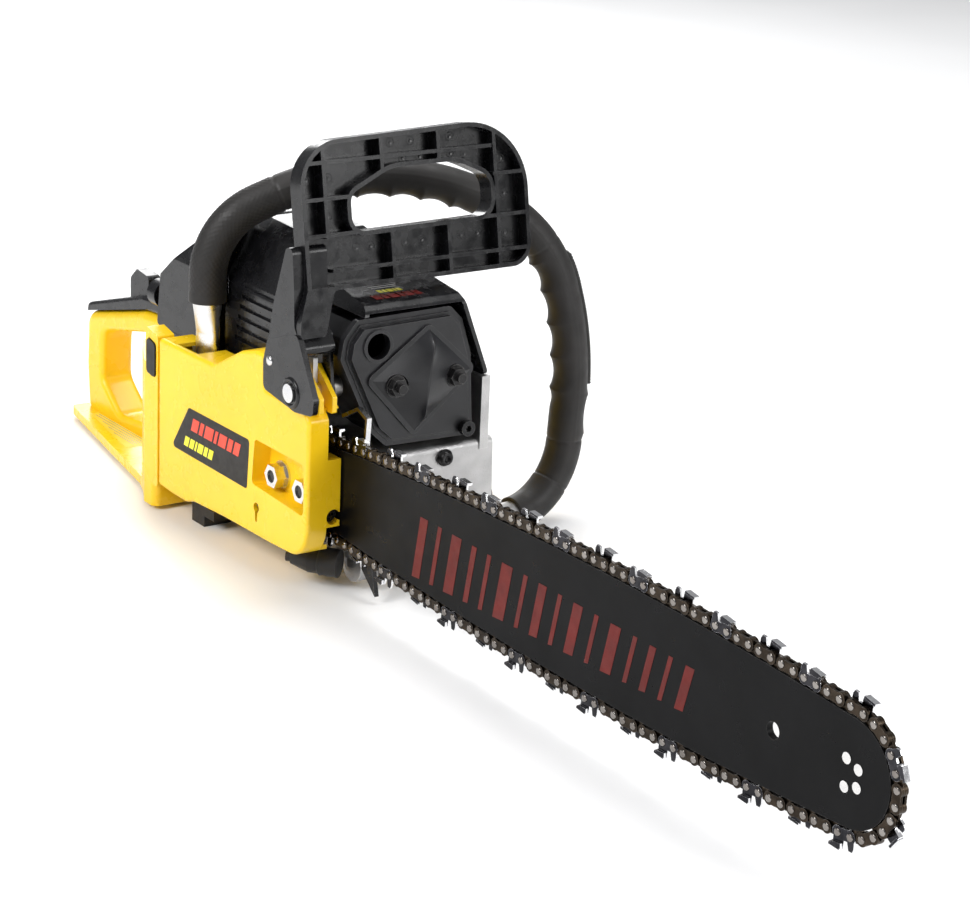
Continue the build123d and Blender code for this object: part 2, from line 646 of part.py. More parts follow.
def make_spark_plug():
    plug = cyl_z(0, ENGINE_Y, 7.0, PISTON_TOP + 2, 170.3) + cyl_z(0, ENGINE_Y, 10.0, 170.2, 174)
    return plug + cyl_z(0, ENGINE_Y, 5.0, 174, 184)


def make_plug_cap():
    cap = cyl_z(0, ENGINE_Y, 9.0, 175, 188) - cyl_z(0, ENGINE_Y, 5.1, 174, 184.1)
    cap += cyl_x(ENGINE_Y, 182.5, 4.5, 5, 24) - cyl_z(0, ENGINE_Y, 8.5, 170, 188)
    return cap


def make_flywheel():
    wheel = cyl_y(0, BAR_Z, 46.0, 78.0, 84.0) + cyl_y(0, BAR_Z, 16.0, 77.0, 96.0)
    blades = 16
    for i in range(blades):
        blade = block(22, 45, 83, 93, BAR_Z - 1.2, BAR_Z + 1.2)
        wheel += turned(blade, 360 * i / blades)
    return wheel - cyl_y(0, BAR_Z, 5.95, 60, 110)


def make_ignition_coil():
    coil = block(-14, 14, 84, 94, 113, 126) + block(-38, 38, 86, 93, 113, 117)
    return coil + block(-38, -32, 86, 93, CASE_TOP, 114) + block(32, 38, 86, 93, CASE_TOP, 114)


MUFFLER_EDGE = [
    (-5, 148), (-3, 160), (6, 171), (71, 172), (80, 163), (87, 141), (90, 97), (84, 89.5),
    (28, 91), (17, 101),
]
MUFFLER_FRONT = 105.0
MUFFLER_STUDS = ((29, 130), (71, 131))
MUFFLER_BOLT = (82, 96)
OUTLET = (18, 155)


def shrink_front(points, amount):
    return offset(outline(points, 4.0), amount=-amount)


def make_muffler():
    plane = Plane(origin=(62, 0, 0), x_dir=(0, 1, 0), z_dir=(1, 0, 0))
    body = extrude(plane * shrink_front(MUFFLER_EDGE, 3.0), 40)
    body += front_prism(MUFFLER_EDGE, 97, 101, 4.0)
    front = Plane(origin=(101, 0, 0), x_dir=(0, 1, 0), z_dir=(1, 0, 0))
    body += extrude(front * shrink_front(MUFFLER_EDGE, 5.0), MUFFLER_FRONT - 101)
    hollow = Plane(origin=(64, 0, 0), x_dir=(0, 1, 0), z_dir=(1, 0, 0))
    body -= extrude(hollow * shrink_front(MUFFLER_EDGE, 8.5), 38)
    body += cyl_x(OUTLET[0], OUTLET[1], 10.0, 100, MUFFLER_FRONT + 1.2)
    body -= cyl_x(OUTLET[0], OUTLET[1], 8.0, 80, MUFFLER_FRONT + 2)
    body += cyl_x(ENGINE_Y, EXHAUST_Z, 13.0, 44.0, 64.5)
    body -= cyl_x(ENGINE_Y, EXHAUST_Z, 9.5, 40.0, 70.0)
    for y, z in MUFFLER_STUDS + (MUFFLER_BOLT,):
        body -= cyl_x(y, z, 3.1, 90, 120)
    return body


def make_deflector():
    """Pressed diamond plate, its middle standing out like a low pyramid."""
    corners = [(53, 165), (88, 133), (44, 96), (9, 135)]
    base = Plane(origin=(MUFFLER_FRONT + 0.1, 0, 0), x_dir=(0, 1, 0), z_dir=(1, 0, 0))
    plate = extrude(base * outline(corners, 5.0), 1.5)
    foot = Plane(origin=(MUFFLER_FRONT + 1.5, 0, 0), x_dir=(0, 1, 0), z_dir=(1, 0, 0))
    crest = Plane(origin=(MUFFLER_FRONT + 8.5, 0, 0), x_dir=(0, 1, 0), z_dir=(1, 0, 0))
    ridge = [(52.6, 153), (50.6, 131), (47.6, 110), (48.8, 131)]
    plate += loft([foot * outline(inset_points(corners, (50, 131), 0.9), 0), crest * outline(ridge, 0)])
    for y, z in MUFFLER_STUDS:
        plate -= cyl_x(y, z, 7.5, MUFFLER_FRONT + 3.0, MUFFLER_FRONT + 12)
        plate -= cyl_x(y, z, 3.1, MUFFLER_FRONT - 1, MUFFLER_FRONT + 12)
    return plate


def make_muffler_fasteners():
    pieces = []
    for y, z in MUFFLER_STUDS:
        stud = cyl_x(y, z, 3.0, 96, MUFFLER_FRONT + 12.0)
        stud += hex_bar_x(y, z, 10.0, MUFFLER_FRONT + 3.1, MUFFLER_FRONT + 8.5)
        pieces.append(stud + cyl_x(y, z, 6.8, MUFFLER_FRONT + 3.05, MUFFLER_FRONT + 4.4))
    y, z = MUFFLER_BOLT
    bolt = cyl_x(y, z, 3.0, 96, MUFFLER_FRONT + 3)
    bolt += cyl_x(y, z, 4.8, MUFFLER_FRONT + 0.05, MUFFLER_FRONT + 4.5)
    pieces.append(bolt - hex_bar_x(y, z, 4.0, MUFFLER_FRONT + 2, MUFFLER_FRONT + 6))
    return pieces


TOP_SIDE = [
    (-46, 112), (-46, 200), (2, 199), (44, 187), (99, 179), (105, 175), (105, 126.3),
    (50, 126.3), (50, 112),
]
TOP_FRONT = [(2, 100), (2, 160), (18, 193), (38, 205), (70, 206), (79, 176), (98.4, 126.5), (100, 100)]


def make_cylinder_cover():
    outer = side_prism(TOP_SIDE, -20, 120, 5.0) & front_prism(TOP_FRONT, -60, 120, 6.0)
    side_plane = Plane(origin=(0, 120, 0), x_dir=(1, 0, 0), z_dir=(0, -1, 0))
    front_plane = Plane(origin=(-60, 0, 0), x_dir=(0, 1, 0), z_dir=(1, 0, 0))
    inner_side = [(-43, 100), (-43, 197), (2, 196), (44, 184), (97, 176), (110, 174), (110, 100)]
    inner = extrude(side_plane * outline(inner_side, 2.0), 140)
    inner &= extrude(front_plane * offset(outline(TOP_FRONT, 6.0), amount=-SHELL), 200)
    cover = outer - inner
    cover -= block(58, 120, -20, 11, 100, 173)
    cover -= cyl_x(ENGINE_Y, INTAKE_Z, 16.0, -50, -40)
    slots = 6
    for i in range(slots):
        z = 126 + 7.0 * i
        cover -= block(-34 + 2 * i, 34, -10, 4, z, z + 3.0)
        cover -= block(-34 + 2 * i, 34, 70, 110, z, z + 3.0)
    return scallop(cover, outer)


save(make_crankcase(), "crankcase")
save_group(make_crankshaft(), "crankshaft")
save_group(make_bearings(), "crank_bearings")
save(make_piston(), "piston")
save(cyl_y(0, PIN_Z, 5.0, ENGINE_Y - 20.0, ENGINE_Y + 20.0), "wrist_pin")
save(make_rod(), "connecting_rod")
save(make_cylinder(), "cylinder")
save(make_spark_plug(), "spark_plug")
save(make_plug_cap(), "spark_plug_cap")
save(make_flywheel(), "flywheel")
save(make_ignition_coil(), "ignition_coil")
save(make_muffler(), "muffler_body")
save(make_deflector(), "muffler_deflector")
save_group(make_muffler_fasteners(), "muffler_fasteners")
save(make_cylinder_cover(), "cylinder_cover")


# ---------------------------------------------------------------- starter side
STARTER_LOW, STARTER_HIGH = 104.3, 128.0
ROPE_X, ROPE_Y, ROPE_R = -48.0, 118.0, 1.8
VENT_SLOTS = 14


def make_starter_cover():
    edge = [(-70, 27), (-70, 112), (-30, 122), (40, 122), (58, 100), (60, 32), (50, 21), (-62, 21)]
    cover = side_prism(edge, STARTER_LOW, STARTER_HIGH, 10.0)
    face_edges = cover.edges().filter_by_position(Axis.Y, STARTER_HIGH - 0.01, STARTER_HIGH + 0.01)
    cover = fillet(face_edges, 5.0)
    plane = Plane(origin=(0, STARTER_HIGH - SHELL, 0), x_dir=(1, 0, 0), z_dir=(0, -1, 0))
    cover -= extrude(plane * offset(outline(edge, 10.0), amount=-SHELL), STARTER_HIGH)
    for i in range(VENT_SLOTS):
        slot = block(30, 46, STARTER_HIGH - 6, STARTER_HIGH + 4, BAR_Z - 2.2, BAR_Z + 2.2)
        cover -= turned(slot, 360 * i / VENT_SLOTS)
    cover += cyl_y(0, BAR_Z, 5.0, 108.0, STARTER_HIGH - 1)
    cover -= cyl_z(ROPE_X, ROPE_Y, 4.0, 105, 125)
    return cover


def make_starter_pulley():
    pulley = cyl_y(0, BAR_Z, 27.0, 108.5, 118.0) - cyl_y(0, BAR_Z, 5.05, 100, 130)
    pulley -= ring(lambda r: cyl_y(0, BAR_Z, r, 111.5, 116.0), 30.0, 22.0)
    return pulley


def make_recoil_spring():
    return ring(lambda r: cyl_y(0, BAR_Z, r, 118.6, 124.6), 24.0, 8.0)


HANDLE_BASE = 122.8


def make_starter_handle():
    grip = Pos(ROPE_X, ROPE_Y + 1, HANDLE_BASE + 5) * Box(14, 27, 10)
    grip = fillet(grip.edges(), 3.5)
    grip += cyl_z(ROPE_X, ROPE_Y, 6.0, HANDLE_BASE - 2.4, HANDLE_BASE + 2)
    return grip - cyl_z(ROPE_X, ROPE_Y, ROPE_R + 0.05, HANDLE_BASE - 3, HANDLE_BASE + 6)


# ---------------------------------------------------------------- intake
THROTTLE_X = -74.0
KNOB_X, KNOB_Y = -92.0, 60.0


def make_carburettor():
    body = block(-84, -60, 30, 62, 106, 136) + cyl_x(ENGINE_Y, INTAKE_Z, 14.0, -92, -60)
    body -= cyl_x(ENGINE_Y, INTAKE_Z, 9.0, -100, -50)
    body += cyl_y(-72, 136, 5.0, 38, 52)
    return body - cyl_y(THROTTLE_X, INTAKE_Z, 2.55, 20, 80)


def make_throttle_shaft():
    """Shaft with the butterfly plate in the carburettor's throat and a lever outside."""
    shaft = cyl_y(THROTTLE_X, INTAKE_Z, 2.5, 26, 66)
    plate = block(THROTTLE_X - 1, THROTTLE_X + 1, ENGINE_Y - 8.4, ENGINE_Y + 8.4, INTAKE_Z - 8, INTAKE_Z + 8)
    plate &= cyl_x(ENGINE_Y, INTAKE_Z, 8.6, -80, -60)
    return shaft + plate + block(-76.5, -71.5, 64, 66, 108, 124)


def make_intake_boot():
    return ring(lambda r: cyl_x(ENGINE_Y, INTAKE_Z, r, -59.8, -44.2), 15.0, 10.0)


BASE_EDGE = [(-128, 104), (-128, 111), (-49, 111), (-49, 101), (-84, 99)]


def make_filter_base():
    base = side_prism(BASE_EDGE, 0, 92, 1.5)
    base -= block(-98, -40, 26, 66, 90, 120)
    return base


def make_air_filter():
    can = top_prism([(-122, 24), (-98, 24), (-98, 76), (-122, 76)], 112, 140, 6.0)
    can += block(-98, -88, 30, 60, 112, 138)
    return can - cyl_x(ENGINE_Y, INTAKE_Z, 14.2, -105, -80)


CHOKE_Y, CHOKE_Z = 12.0, 127.0
FILTER_SIDE = [(-131, 111.3), (-127, 146), (-104, 164), (-63, 194), (-49, 200), (-49, 111.3)]
FILTER_FRONT = [(0, 100), (0, 160), (6, 180), (18, 204), (76, 204), (90, 176), (92, 160), (92, 100)]


def make_filter_cover():
    outer = side_prism(FILTER_SIDE, -20, 120, 2.5) & front_prism(FILTER_FRONT, -150, 20, 2.0)
    outer -= block(-200, 0, -50, 150, 0, 111.3)
    inner_side = [(-128, 100), (-125, 144), (-102, 161), (-62, 190.5), (-52, 195), (-52, 100)]
    side_plane = Plane(origin=(0, 120, 0), x_dir=(1, 0, 0), z_dir=(0, -1, 0))
    front_plane = Plane(origin=(-150, 0, 0), x_dir=(0, 1, 0), z_dir=(1, 0, 0))
    inner = extrude(side_plane * outline(inner_side, 0), 140)
    inner &= extrude(front_plane * offset(outline(FILTER_FRONT, 2.0), amount=-SHELL), 200)
    cover = outer - inner
    cover = scallop(cover, outer)
    cover -= cyl_x(ENGINE_Y, INTAKE_Z, 16.0, -60, -45) + cyl_x(CHOKE_Y, CHOKE_Z, 4.4, -140, -115)
    return cover - cyl_z(KNOB_X, KNOB_Y, 4.2, 150, 210)


def make_filter_knob():
    return cyl_z(KNOB_X, KNOB_Y, 4.0, 150, 181) + cyl_z(KNOB_X, KNOB_Y, 11.0, 181, 190)


def make_choke_knob():
    knob = cyl_x(CHOKE_Y, CHOKE_Z, 4.0, -142, -126)
    return knob + cyl_x(CHOKE_Y, CHOKE_Z, 9.0, -151, -141)


# ---------------------------------------------------------------- rear handle and tank
HANDLE_Y = 40.0
HANDLE_HALF = 12.5
FOOT_LOW, FOOT_HIGH = 3.0, 9.0
TRIGGER_X, TRIGGER_Z = -172.0, 92.0
LOCK_X, LOCK_Z = -231.0, 97.0


def make_rear_unit():
    side = [(-286, 3), (-289, 40), (-287, 78), (-204, 99), (-134, 103.6), (-104, 98.2), (-104, 3)]
    loop = side_prism(side, HANDLE_Y - HANDLE_HALF, HANDLE_Y + HANDLE_HALF, 12.0)
    hand_edges = loop.edges().filter_by(lambda e: abs(e.center().Y - HANDLE_Y) > 12 and e.center().Z > 30)
    loop = fillet(hand_edges, 7.0)
    opening = [(-264, 34), (-262, 70), (-204, 83), (-158, 86), (-158, 24), (-238, 14)]
    loop -= side_prism(opening, 0, 80, 10.0)
    rim = loop.edges().filter_by(
        lambda e: abs(e.center().Y - HANDLE_Y) > 12 and -268 < e.center().X < -157 and 13 < e.center().Z < 87
    )
    loop = fillet(rim, 4.0)
    foot = top_prism([(-290, 18), (-290, 62), (-150, 84), (-104, 84), (-104, -22), (-132, -12)],
                     FOOT_LOW, FOOT_HIGH, 4.0)
    foot += block(-286, -272, 30, 56, 0, FOOT_LOW + 1)
    tank_edge = [(-150, 8), (-150, 112), (-86, 112), (-86, -26), (-100, -26), (-140, -6)]
    tank = top_prism(tank_edge, FOOT_LOW, 98.4, 5.0)
    tank -= top_prism([(-146, 12), (-146, 108), (-92, 108), (-92, 0), (-136, 0)], 16, 90, 5.0)
    cheek = side_prism([(-98, 18), (-98, 122), (-82, 118.5), (-82, 18)], -26, -14, 2.0)
    arm = block(-90, 76, 26, 64.8, 1.2, 12.0) + block(-90, 68, -2.4, 6, 13.5, 20.4)
    unit = loop + foot + tank + cheek + arm
    unit -= block(-197, -161, HANDLE_Y - 5.0, HANDLE_Y + 5.0, 70, 98)
    unit -= block(-238, -206, HANDLE_Y - 5.2, HANDLE_Y + 5.2, 86, 112)
    unit -= cyl_y(TRIGGER_X, TRIGGER_Z, 2.05, HANDLE_Y - 11, HANDLE_Y + 11)
    unit -= cyl_y(-120, 60, 13.0, 106, 120)
    unit -= block(-146, -136, 62, 80, 95, 99)
    unit -= cyl_y(-90.0, 104, 6.0, -27, -23.0)
    unit -= side_prism([(-96, 92), (-96, 116), (-84, 113), (-84, 90)], -27, -23.5, 3.0)
    return unit


def make_av_plug():
    return side_prism([(-95.5, 92.5), (-95.5, 115.4), (-84.5, 112.6), (-84.5, 90.5)], -27.0, -23.5, 3.0)


def make_grip_cap():
    edge = [(-284, 79.2), (-283, 85.5), (-204, 109), (-180, 111), (-180, 101), (-204, 99.6)]
    cap = side_prism(edge, HANDLE_Y - HANDLE_HALF, HANDLE_Y + HANDLE_HALF)
    top_edges = cap.edges().filter_by(lambda e: abs(e.center().Y - HANDLE_Y) > 12 and e.length > 20
                                      and e.center().Z > 97)
    cap = fillet(top_edges, 3.0)
    return cap - block(-238, -206, HANDLE_Y - 5.2, HANDLE_Y + 5.2, 60, 130)


def make_trigger():
    edge = [(-192, 92.4), (-163, 96), (-163, 88), (-174, 80), (-179, 62), (-186, 60), (-188, 80)]
    body = side_prism(edge, HANDLE_Y - 4.0, HANDLE_Y + 4.0, 2.0)
    return body - cyl_y(TRIGGER_X, TRIGGER_Z, 2.05, 0, 80)


def make_lock():
    edge = [(-235, 92), (-235, 114), (-226, 122), (-209, 120), (-209, 92)]
    lever = side_prism(edge, HANDLE_Y - 4.5, HANDLE_Y + 4.5, 3.0)
    return lever + cyl_y(LOCK_X, LOCK_Z, 3.0, HANDLE_Y - 4.9, HANDLE_Y + 4.9)


def make_cap(x, z, low, bore_r):
    """Filler cap: a plug that fills the bore, and a rim with finger notches outside."""
    cap = cyl_y(x, z, bore_r - 0.05, low - 6, low + 1) + cyl_y(x, z, bore_r + 3.0, low + 0.05, low + 9)
    for i in range(12):
        notch = cyl_y(x + bore_r + 4.0, z, 2.0, low + 1, low + 10)
        cap -= Pos(x, 0, z) * Rot(0, 30 * i, 0) * Pos(-x, 0, -z) * notch
    return cap


def make_stop_switch():
    """Ignition switch: a ribbed button that slides across the saw in its recess."""
    button = block(-145.6, -136.4, 62.4, 71.4, 95.3, 102)
    for y in (64.5, 66.9, 69.3):
        button -= block(-147, -135, y - 0.5, y + 0.5, 101.2, 103)
    return button


# ---------------------------------------------------------------- front handle
def make_front_tube():
    """Round tube whose right leg is flattened below the grip, where it is bolted on."""
    tube = tube_along(handle_wire(), TUBE_R)
    x = hoop_x(LEG_Y)
    round_end = Plane(origin=(x, LEG_Y, LEG_ROUND - 10)) * Circle(TUBE_R)
    flat_end = Plane(origin=(x, LEG_Y, 128)) * Ellipse(11.0, 5.2)
    leg = loft([flat_end, round_end])
    foot = extrude(Plane(origin=(x, LEG_Y, LEG_FOOT)) * Ellipse(11.0, 5.2), 128 - LEG_FOOT)
    return tube + leg + foot


def make_front_grip():
    wire = handle_wire()
    sleeve = tube_along(wire.trim(*GRIP_ENDS), GRIP_R)
    return sleeve - tube_along(wire, TUBE_R + 0.02)


# ---------------------------------------------------------------- hand guard
RING_EDGE = [
    (-29, -28), (-28, -18), (-22, 0), (-22, 84), (137, 88), (137, -2), (-4, -2), (-12, -28),
]
RING_CORNERS = [2, 8, 8, 27, 42, 14, 3, 2]
RING_HOLE = [(11, 30), (11, 52), (40, 65), (86, 65), (110, 54), (110, 31)]
HOLE_CORNERS = [9, 8, 30, 30, 12, 10]
RING_DEPTH = 12.0
UPRIGHT_RIBS = ((-6, 28, 84), (34, 58, 86), (74, 60, 88), (114, -2, 84), (38, -2, 31), (78, -2, 31))
LEVEL_RIBS = ((72, -20, 112), (51, -22, 14), (30, -22, 136), (9, -4, 136), (55, 112, 136))
RIB_HALF = 1.1


def on_ring(shape):
    """Place a piece modelled upright, its front rim in the plane x = 0, on the leaning ring."""
    return Pos(RING_FOOT[0], 0, RING_FOOT[1]) * Rot(0, RING_LEAN, 0) * shape


def make_ring():
    """Ribbed ring: a skin at the rear, walls round both edges and ribs facing forward."""
    back = Plane(origin=(-RING_DEPTH, 0, 0), x_dir=(0, 1, 0), z_dir=(1, 0, 0))
    floor = Plane(origin=(-RING_DEPTH + 3.0, 0, 0), x_dir=(0, 1, 0), z_dir=(1, 0, 0))
    outer = outline(RING_EDGE, RING_CORNERS)
    hole = outline(RING_HOLE, HOLE_CORNERS)
    ring_body = extrude(back * outer, RING_DEPTH) - extrude(back * hole, RING_DEPTH)
    cells = offset(outer, amount=-2.6) - offset(hole, amount=2.6)
    cavity = extrude(floor * cells, RING_DEPTH)
    cavity -= block(-100, 100, -60, 0, -40, 0)
    for y, low, high in UPRIGHT_RIBS:
        cavity -= block(-50, 50, y - RIB_HALF, y + RIB_HALF, low, high)
    for z, low, high in LEVEL_RIBS:
        cavity -= block(-50, 50, low, high, z - RIB_HALF, z + RIB_HALF)
    return on_ring(ring_body - cavity)


def make_hand_guard():
    """The ring on a forked arm, whose two ends straddle the lugs of the clutch cover."""
    guard = make_ring()
    arm_side = [(58, 148), (64, 176), (77, 212), (84, 216), (87, 190), (88, 168), (100, 152)]
    arm = side_prism(arm_side, -29, -6, 4.0)
    arm -= side_prism([(50, 140), (62, 166), (76, 196), (83, 196), (83, 170), (90, 140)], -25.6, -9.4, 3.0)
    lobe = [(56, 123), (55.5, 140), (60, 154), (93, 165), (104, 146), (113, 130), (112, 120.5), (92, 118)]
    outer = side_prism(lobe, -30.2, -26.6, 4.0)
    inner = side_prism([(80, 124), (68, 160), (92, 164), (95, 126)], -7.2, -5.2, 2.0)
    inner += cyl_y(PIVOT[0], PIVOT[1], 7.0, -7.2, -4.0)
    guard += arm
    guard += outer
    guard += inner
    return guard - cyl_y(PIVOT[0], PIVOT[1], 4.05, -60, 20)


def make_hinge_pins():
    """The guard's pivot bolt and the trigger's pin."""
    guard_pin = cyl_y(PIVOT[0], PIVOT[1], 4.0, -31.6, 1.6) + cyl_y(PIVOT[0], PIVOT[1], 5.6, -32.4, -30.4)
    trigger_pin = cyl_y(TRIGGER_X, TRIGGER_Z, 2.0, HANDLE_Y - 11, HANDLE_Y + 11)
    return [guard_pin, trigger_pin]


def make_brake_tab():
    """Plastic tongue standing between the lugs, which shows that the brake is off."""
    tab = side_prism([(78, 120), (78, 146), (86, 147), (86, 134), (92, 120)], -14.2, -11.2, 1.0)
    return tab - cyl_y(PIVOT[0], PIVOT[1], 4.05, -20, 0)


def make_guard_spring():
    return ring(lambda r: cyl_y(PIVOT[0], PIVOT[1], r, -3.8, 1.6), 6.4, 4.2)


# ---------------------------------------------------------------- small outside pieces
def make_spike():
    edge = [
        (106.3, 18), (121.5, 5), (117, 25), (112, 34), (111, 62), (124, 72), (111, 72),
        (111, 80), (106.3, 82),
    ]
    return side_prism(edge, 10, 13)


def make_bar_plate():
    """Bent steel strip that guards the chain's entry, bolted to the front of the bar pad."""
    edge = [
        (88, 110.5), (105, 119.5), (116, 115.5), (114.5, 97), (106.2, 88), (106.2, 78),
        (104.2, 78), (104.2, 89), (112.5, 97.5), (114, 114), (105, 117.2), (89, 108.6),
    ]
    return side_prism(edge, 4.8, 8.0)


def make_av_mounts():
    """Rubber pieces that carry the engine: a tapered boot, a block behind it and a side plug."""
    profile = [
        (0, 0), (3.4, 0), (3.4, 3), (4.6, 3.4), (8.0, 15), (8.0, 21), (8.8, 22), (8.8, 33.5), (0, 33.5),
    ]
    boot = revolve(Plane.XZ * make_face(Polyline(*profile, close=True)), Axis.Z)
    front = BOOT_PLACE * boot
    rear = block(-61, -45, -12, 7.6, 0, 13.3) + block(-45, -33, -12, 7.6, 7.2, 13.3)
    return [front, rear, make_av_plug()]


save(make_starter_cover(), "starter_cover")
save(make_starter_pulley(), "starter_pulley")
save(make_recoil_spring(), "recoil_spring")
save(make_starter_handle(), "starter_handle")
save(cyl_z(ROPE_X, ROPE_Y, ROPE_R, HANDLE_BASE - 14, HANDLE_BASE + 5), "starter_rope")
save(make_carburettor(), "carburettor")
save(make_throttle_shaft(), "throttle_shaft")
save(make_intake_boot(), "intake_boot")
save(make_filter_base(), "filter_base")
save(make_air_filter(), "air_filter")
save(make_filter_cover(), "air_filter_cover")
save(make_filter_knob(), "filter_knob")
save(make_choke_knob(), "choke_knob")
save(make_rear_unit(), "rear_handle_tank")
save(make_grip_cap(), "grip_cap")
save(make_trigger(), "throttle_trigger")
save(make_lock(), "throttle_lock")
save(make_cap(-120, 60, 112.0, 13.0), "fuel_cap")
save(make_cap(80, 42, CASE_HIGH_Y, 11.0), "oil_cap")
save(make_stop_switch(), "stop_switch")
save(make_front_tube(), "front_handle_tube")
save(make_front_grip(), "front_handle_grip")
save(make_hand_guard(), "hand_guard")
save_group(make_hinge_pins(), "hinge_pins")
save(make_brake_tab(), "brake_tab")
save(make_bar_plate(), "bar_plate")
save(make_guard_spring(), "guard_spring")
save(make_spike(), "bumper_spike")
save_group(make_av_mounts(), "av_mounts")
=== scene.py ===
import json
import math

import bmesh
import bpy
from mathutils import Matrix, Vector


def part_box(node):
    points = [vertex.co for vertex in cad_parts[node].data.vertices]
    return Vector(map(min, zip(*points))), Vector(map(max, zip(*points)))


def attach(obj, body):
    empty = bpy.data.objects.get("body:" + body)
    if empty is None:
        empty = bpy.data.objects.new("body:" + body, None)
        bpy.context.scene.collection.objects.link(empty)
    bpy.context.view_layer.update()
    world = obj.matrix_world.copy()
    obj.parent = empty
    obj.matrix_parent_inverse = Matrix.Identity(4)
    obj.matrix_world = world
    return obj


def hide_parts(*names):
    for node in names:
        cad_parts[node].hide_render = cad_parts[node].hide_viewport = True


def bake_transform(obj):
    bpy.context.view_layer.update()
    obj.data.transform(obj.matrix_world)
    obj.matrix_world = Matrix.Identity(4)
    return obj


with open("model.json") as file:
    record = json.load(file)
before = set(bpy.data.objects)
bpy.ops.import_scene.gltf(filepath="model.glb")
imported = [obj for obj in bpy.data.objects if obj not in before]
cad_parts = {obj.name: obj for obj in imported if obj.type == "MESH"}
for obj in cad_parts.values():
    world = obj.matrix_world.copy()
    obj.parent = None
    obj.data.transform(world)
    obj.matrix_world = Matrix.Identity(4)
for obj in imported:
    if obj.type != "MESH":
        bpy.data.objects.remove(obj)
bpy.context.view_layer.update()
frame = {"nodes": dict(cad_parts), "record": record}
NODES = frame["nodes"]
MM = 0.001


# ---------------------------------------------------------------- material helpers
class Finish:
    """A Principled material and short calls for the nodes that wire it."""

    def __init__(self, name):
        self.material = bpy.data.materials.new(name)
        self.material.use_nodes = True
        self.tree = self.material.node_tree
        self.shader = self.tree.nodes["Principled BSDF"]
        self.place = self.node("ShaderNodeTexCoord").outputs["Object"]

    def node(self, kind, **settings):
        made = self.tree.nodes.new(kind)
        for key, value in settings.items():
            setattr(made, key, value)
        return made

    def join(self, source, target):
        self.tree.links.new(source, target)

    def set(self, **sockets):
        for key, value in sockets.items():
            self.shader.inputs[key.replace("_", " ")].default_value = value

    def speckle(self, scale, detail=2.0, stretch=None, roughness=0.5):
        """Noise from 0 to 1; stretch squeezes it along the axes for brushed marks."""
        made = self.node("ShaderNodeTexNoise")
        made.inputs["Scale"].default_value = scale
        made.inputs["Detail"].default_value = detail
        made.inputs["Roughness"].default_value = roughness
        source = self.place
        if stretch:
            mapping = self.node("ShaderNodeMapping")
            mapping.inputs["Scale"].default_value = stretch
            self.join(source, mapping.inputs["Vector"])
            source = mapping.outputs["Vector"]
        self.join(source, made.inputs["Vector"])
        return made.outputs["Fac"]

    def spread(self, value, low, high, start=0.3, stop=0.7):
        """Map a 0 to 1 value to a range, with a soft step between start and stop."""
        made = self.node("ShaderNodeMapRange", interpolation_type="SMOOTHSTEP")
        self.join(value, made.inputs["Value"])
        made.inputs["From Min"].default_value = start
        made.inputs["From Max"].default_value = stop
        made.inputs["To Min"].default_value = low
        made.inputs["To Max"].default_value = high
        return made.outputs["Result"]

    def times(self, a, b):
        made = self.node("ShaderNodeMath", operation="MULTIPLY", use_clamp=True)
        for socket, value in zip(made.inputs, (a, b)):
            if isinstance(value, float):
                socket.default_value = value
            else:
                self.join(value, socket)
        return made.outputs["Value"]

    def tint(self, share, first, second):
        """Colour between two colours or colour outputs."""
        made = self.node("ShaderNodeMix", data_type="RGBA")
        self.join(share, made.inputs["Factor"])
        for socket, value in ((made.inputs[6], first), (made.inputs[7], second)):
            if isinstance(value, tuple):
                socket.default_value = (*value, 1.0)
            else:
                self.join(value, socket)
        return made.outputs[2]

    def edges(self, radius, start=0.02, stop=0.16):
        """1 along the corners of the piece, 0 on its faces."""
        bevel = self.node("ShaderNodeBevel", samples=4)
        bevel.inputs["Radius"].default_value = radius
        geometry = self.node("ShaderNodeNewGeometry")
        dot = self.node("ShaderNodeVectorMath", operation="DOT_PRODUCT")
        self.join(bevel.outputs["Normal"], dot.inputs[0])
        self.join(geometry.outputs["Normal"], dot.inputs[1])
        return self.spread(dot.outputs["Value"], 1.0, 0.0, 1.0 - stop, 1.0 - start)

    def relief(self, height, strength, distance):
        """Bump stacked on any relief the material has already."""
        made = self.node("ShaderNodeBump")
        made.inputs["Strength"].default_value = strength
        made.inputs["Distance"].default_value = distance
        self.join(height, made.inputs["Height"])
        socket = self.shader.inputs["Normal"]
        if socket.is_linked:
            self.join(socket.links[0].from_socket, made.inputs["Normal"])
        self.join(made.outputs["Normal"], socket)


def surface(name, tone, other, rough, grain, patch=45.0, metal=0.0, wear_and_sheen=None, brushed=None, **sockets):
    """Two tones in soft patches, uneven gloss, a grain in relief, and lighter corners.

    grain is (scale, strength, depth); wear_and_sheen is (colour, radius, amount) of the lighter corners,
    which are rubbed wear on the metal, paint, rubber and black plastic, and a painted edge highlight on the
    yellow, white and red plastic."""
    made = Finish(name)
    made.set(Metallic=metal, **sockets)
    cloud = made.speckle(patch, 3.0)
    colour = made.tint(made.spread(cloud, 0.0, 1.0), tone, other)
    gloss = made.spread(made.speckle(patch * 2.7, 4.0), rough[0], rough[1], 0.25, 0.75)
    # lighter corners: rubbed wear on metal, paint, rubber and black plastic, and a painted edge highlight on
    # the yellow, white and red plastic
    if wear_and_sheen:
        rubbed_and_sheen, radius, amount = wear_and_sheen
        broken = made.spread(made.speckle(420.0, 3.0), 0.25, 1.0, 0.35, 0.6)
        mask = made.times(made.times(made.edges(radius), broken), amount)
        colour = made.tint(mask, colour, rubbed_and_sheen)
    made.join(colour, made.shader.inputs["Base Color"])
    made.join(gloss, made.shader.inputs["Roughness"])
    scale, strength, depth = grain
    made.relief(made.speckle(scale, 3.0), strength, depth)
    if brushed:
        made.relief(made.speckle(180.0, 2.0, stretch=brushed), 0.25, 0.0002)
    return made


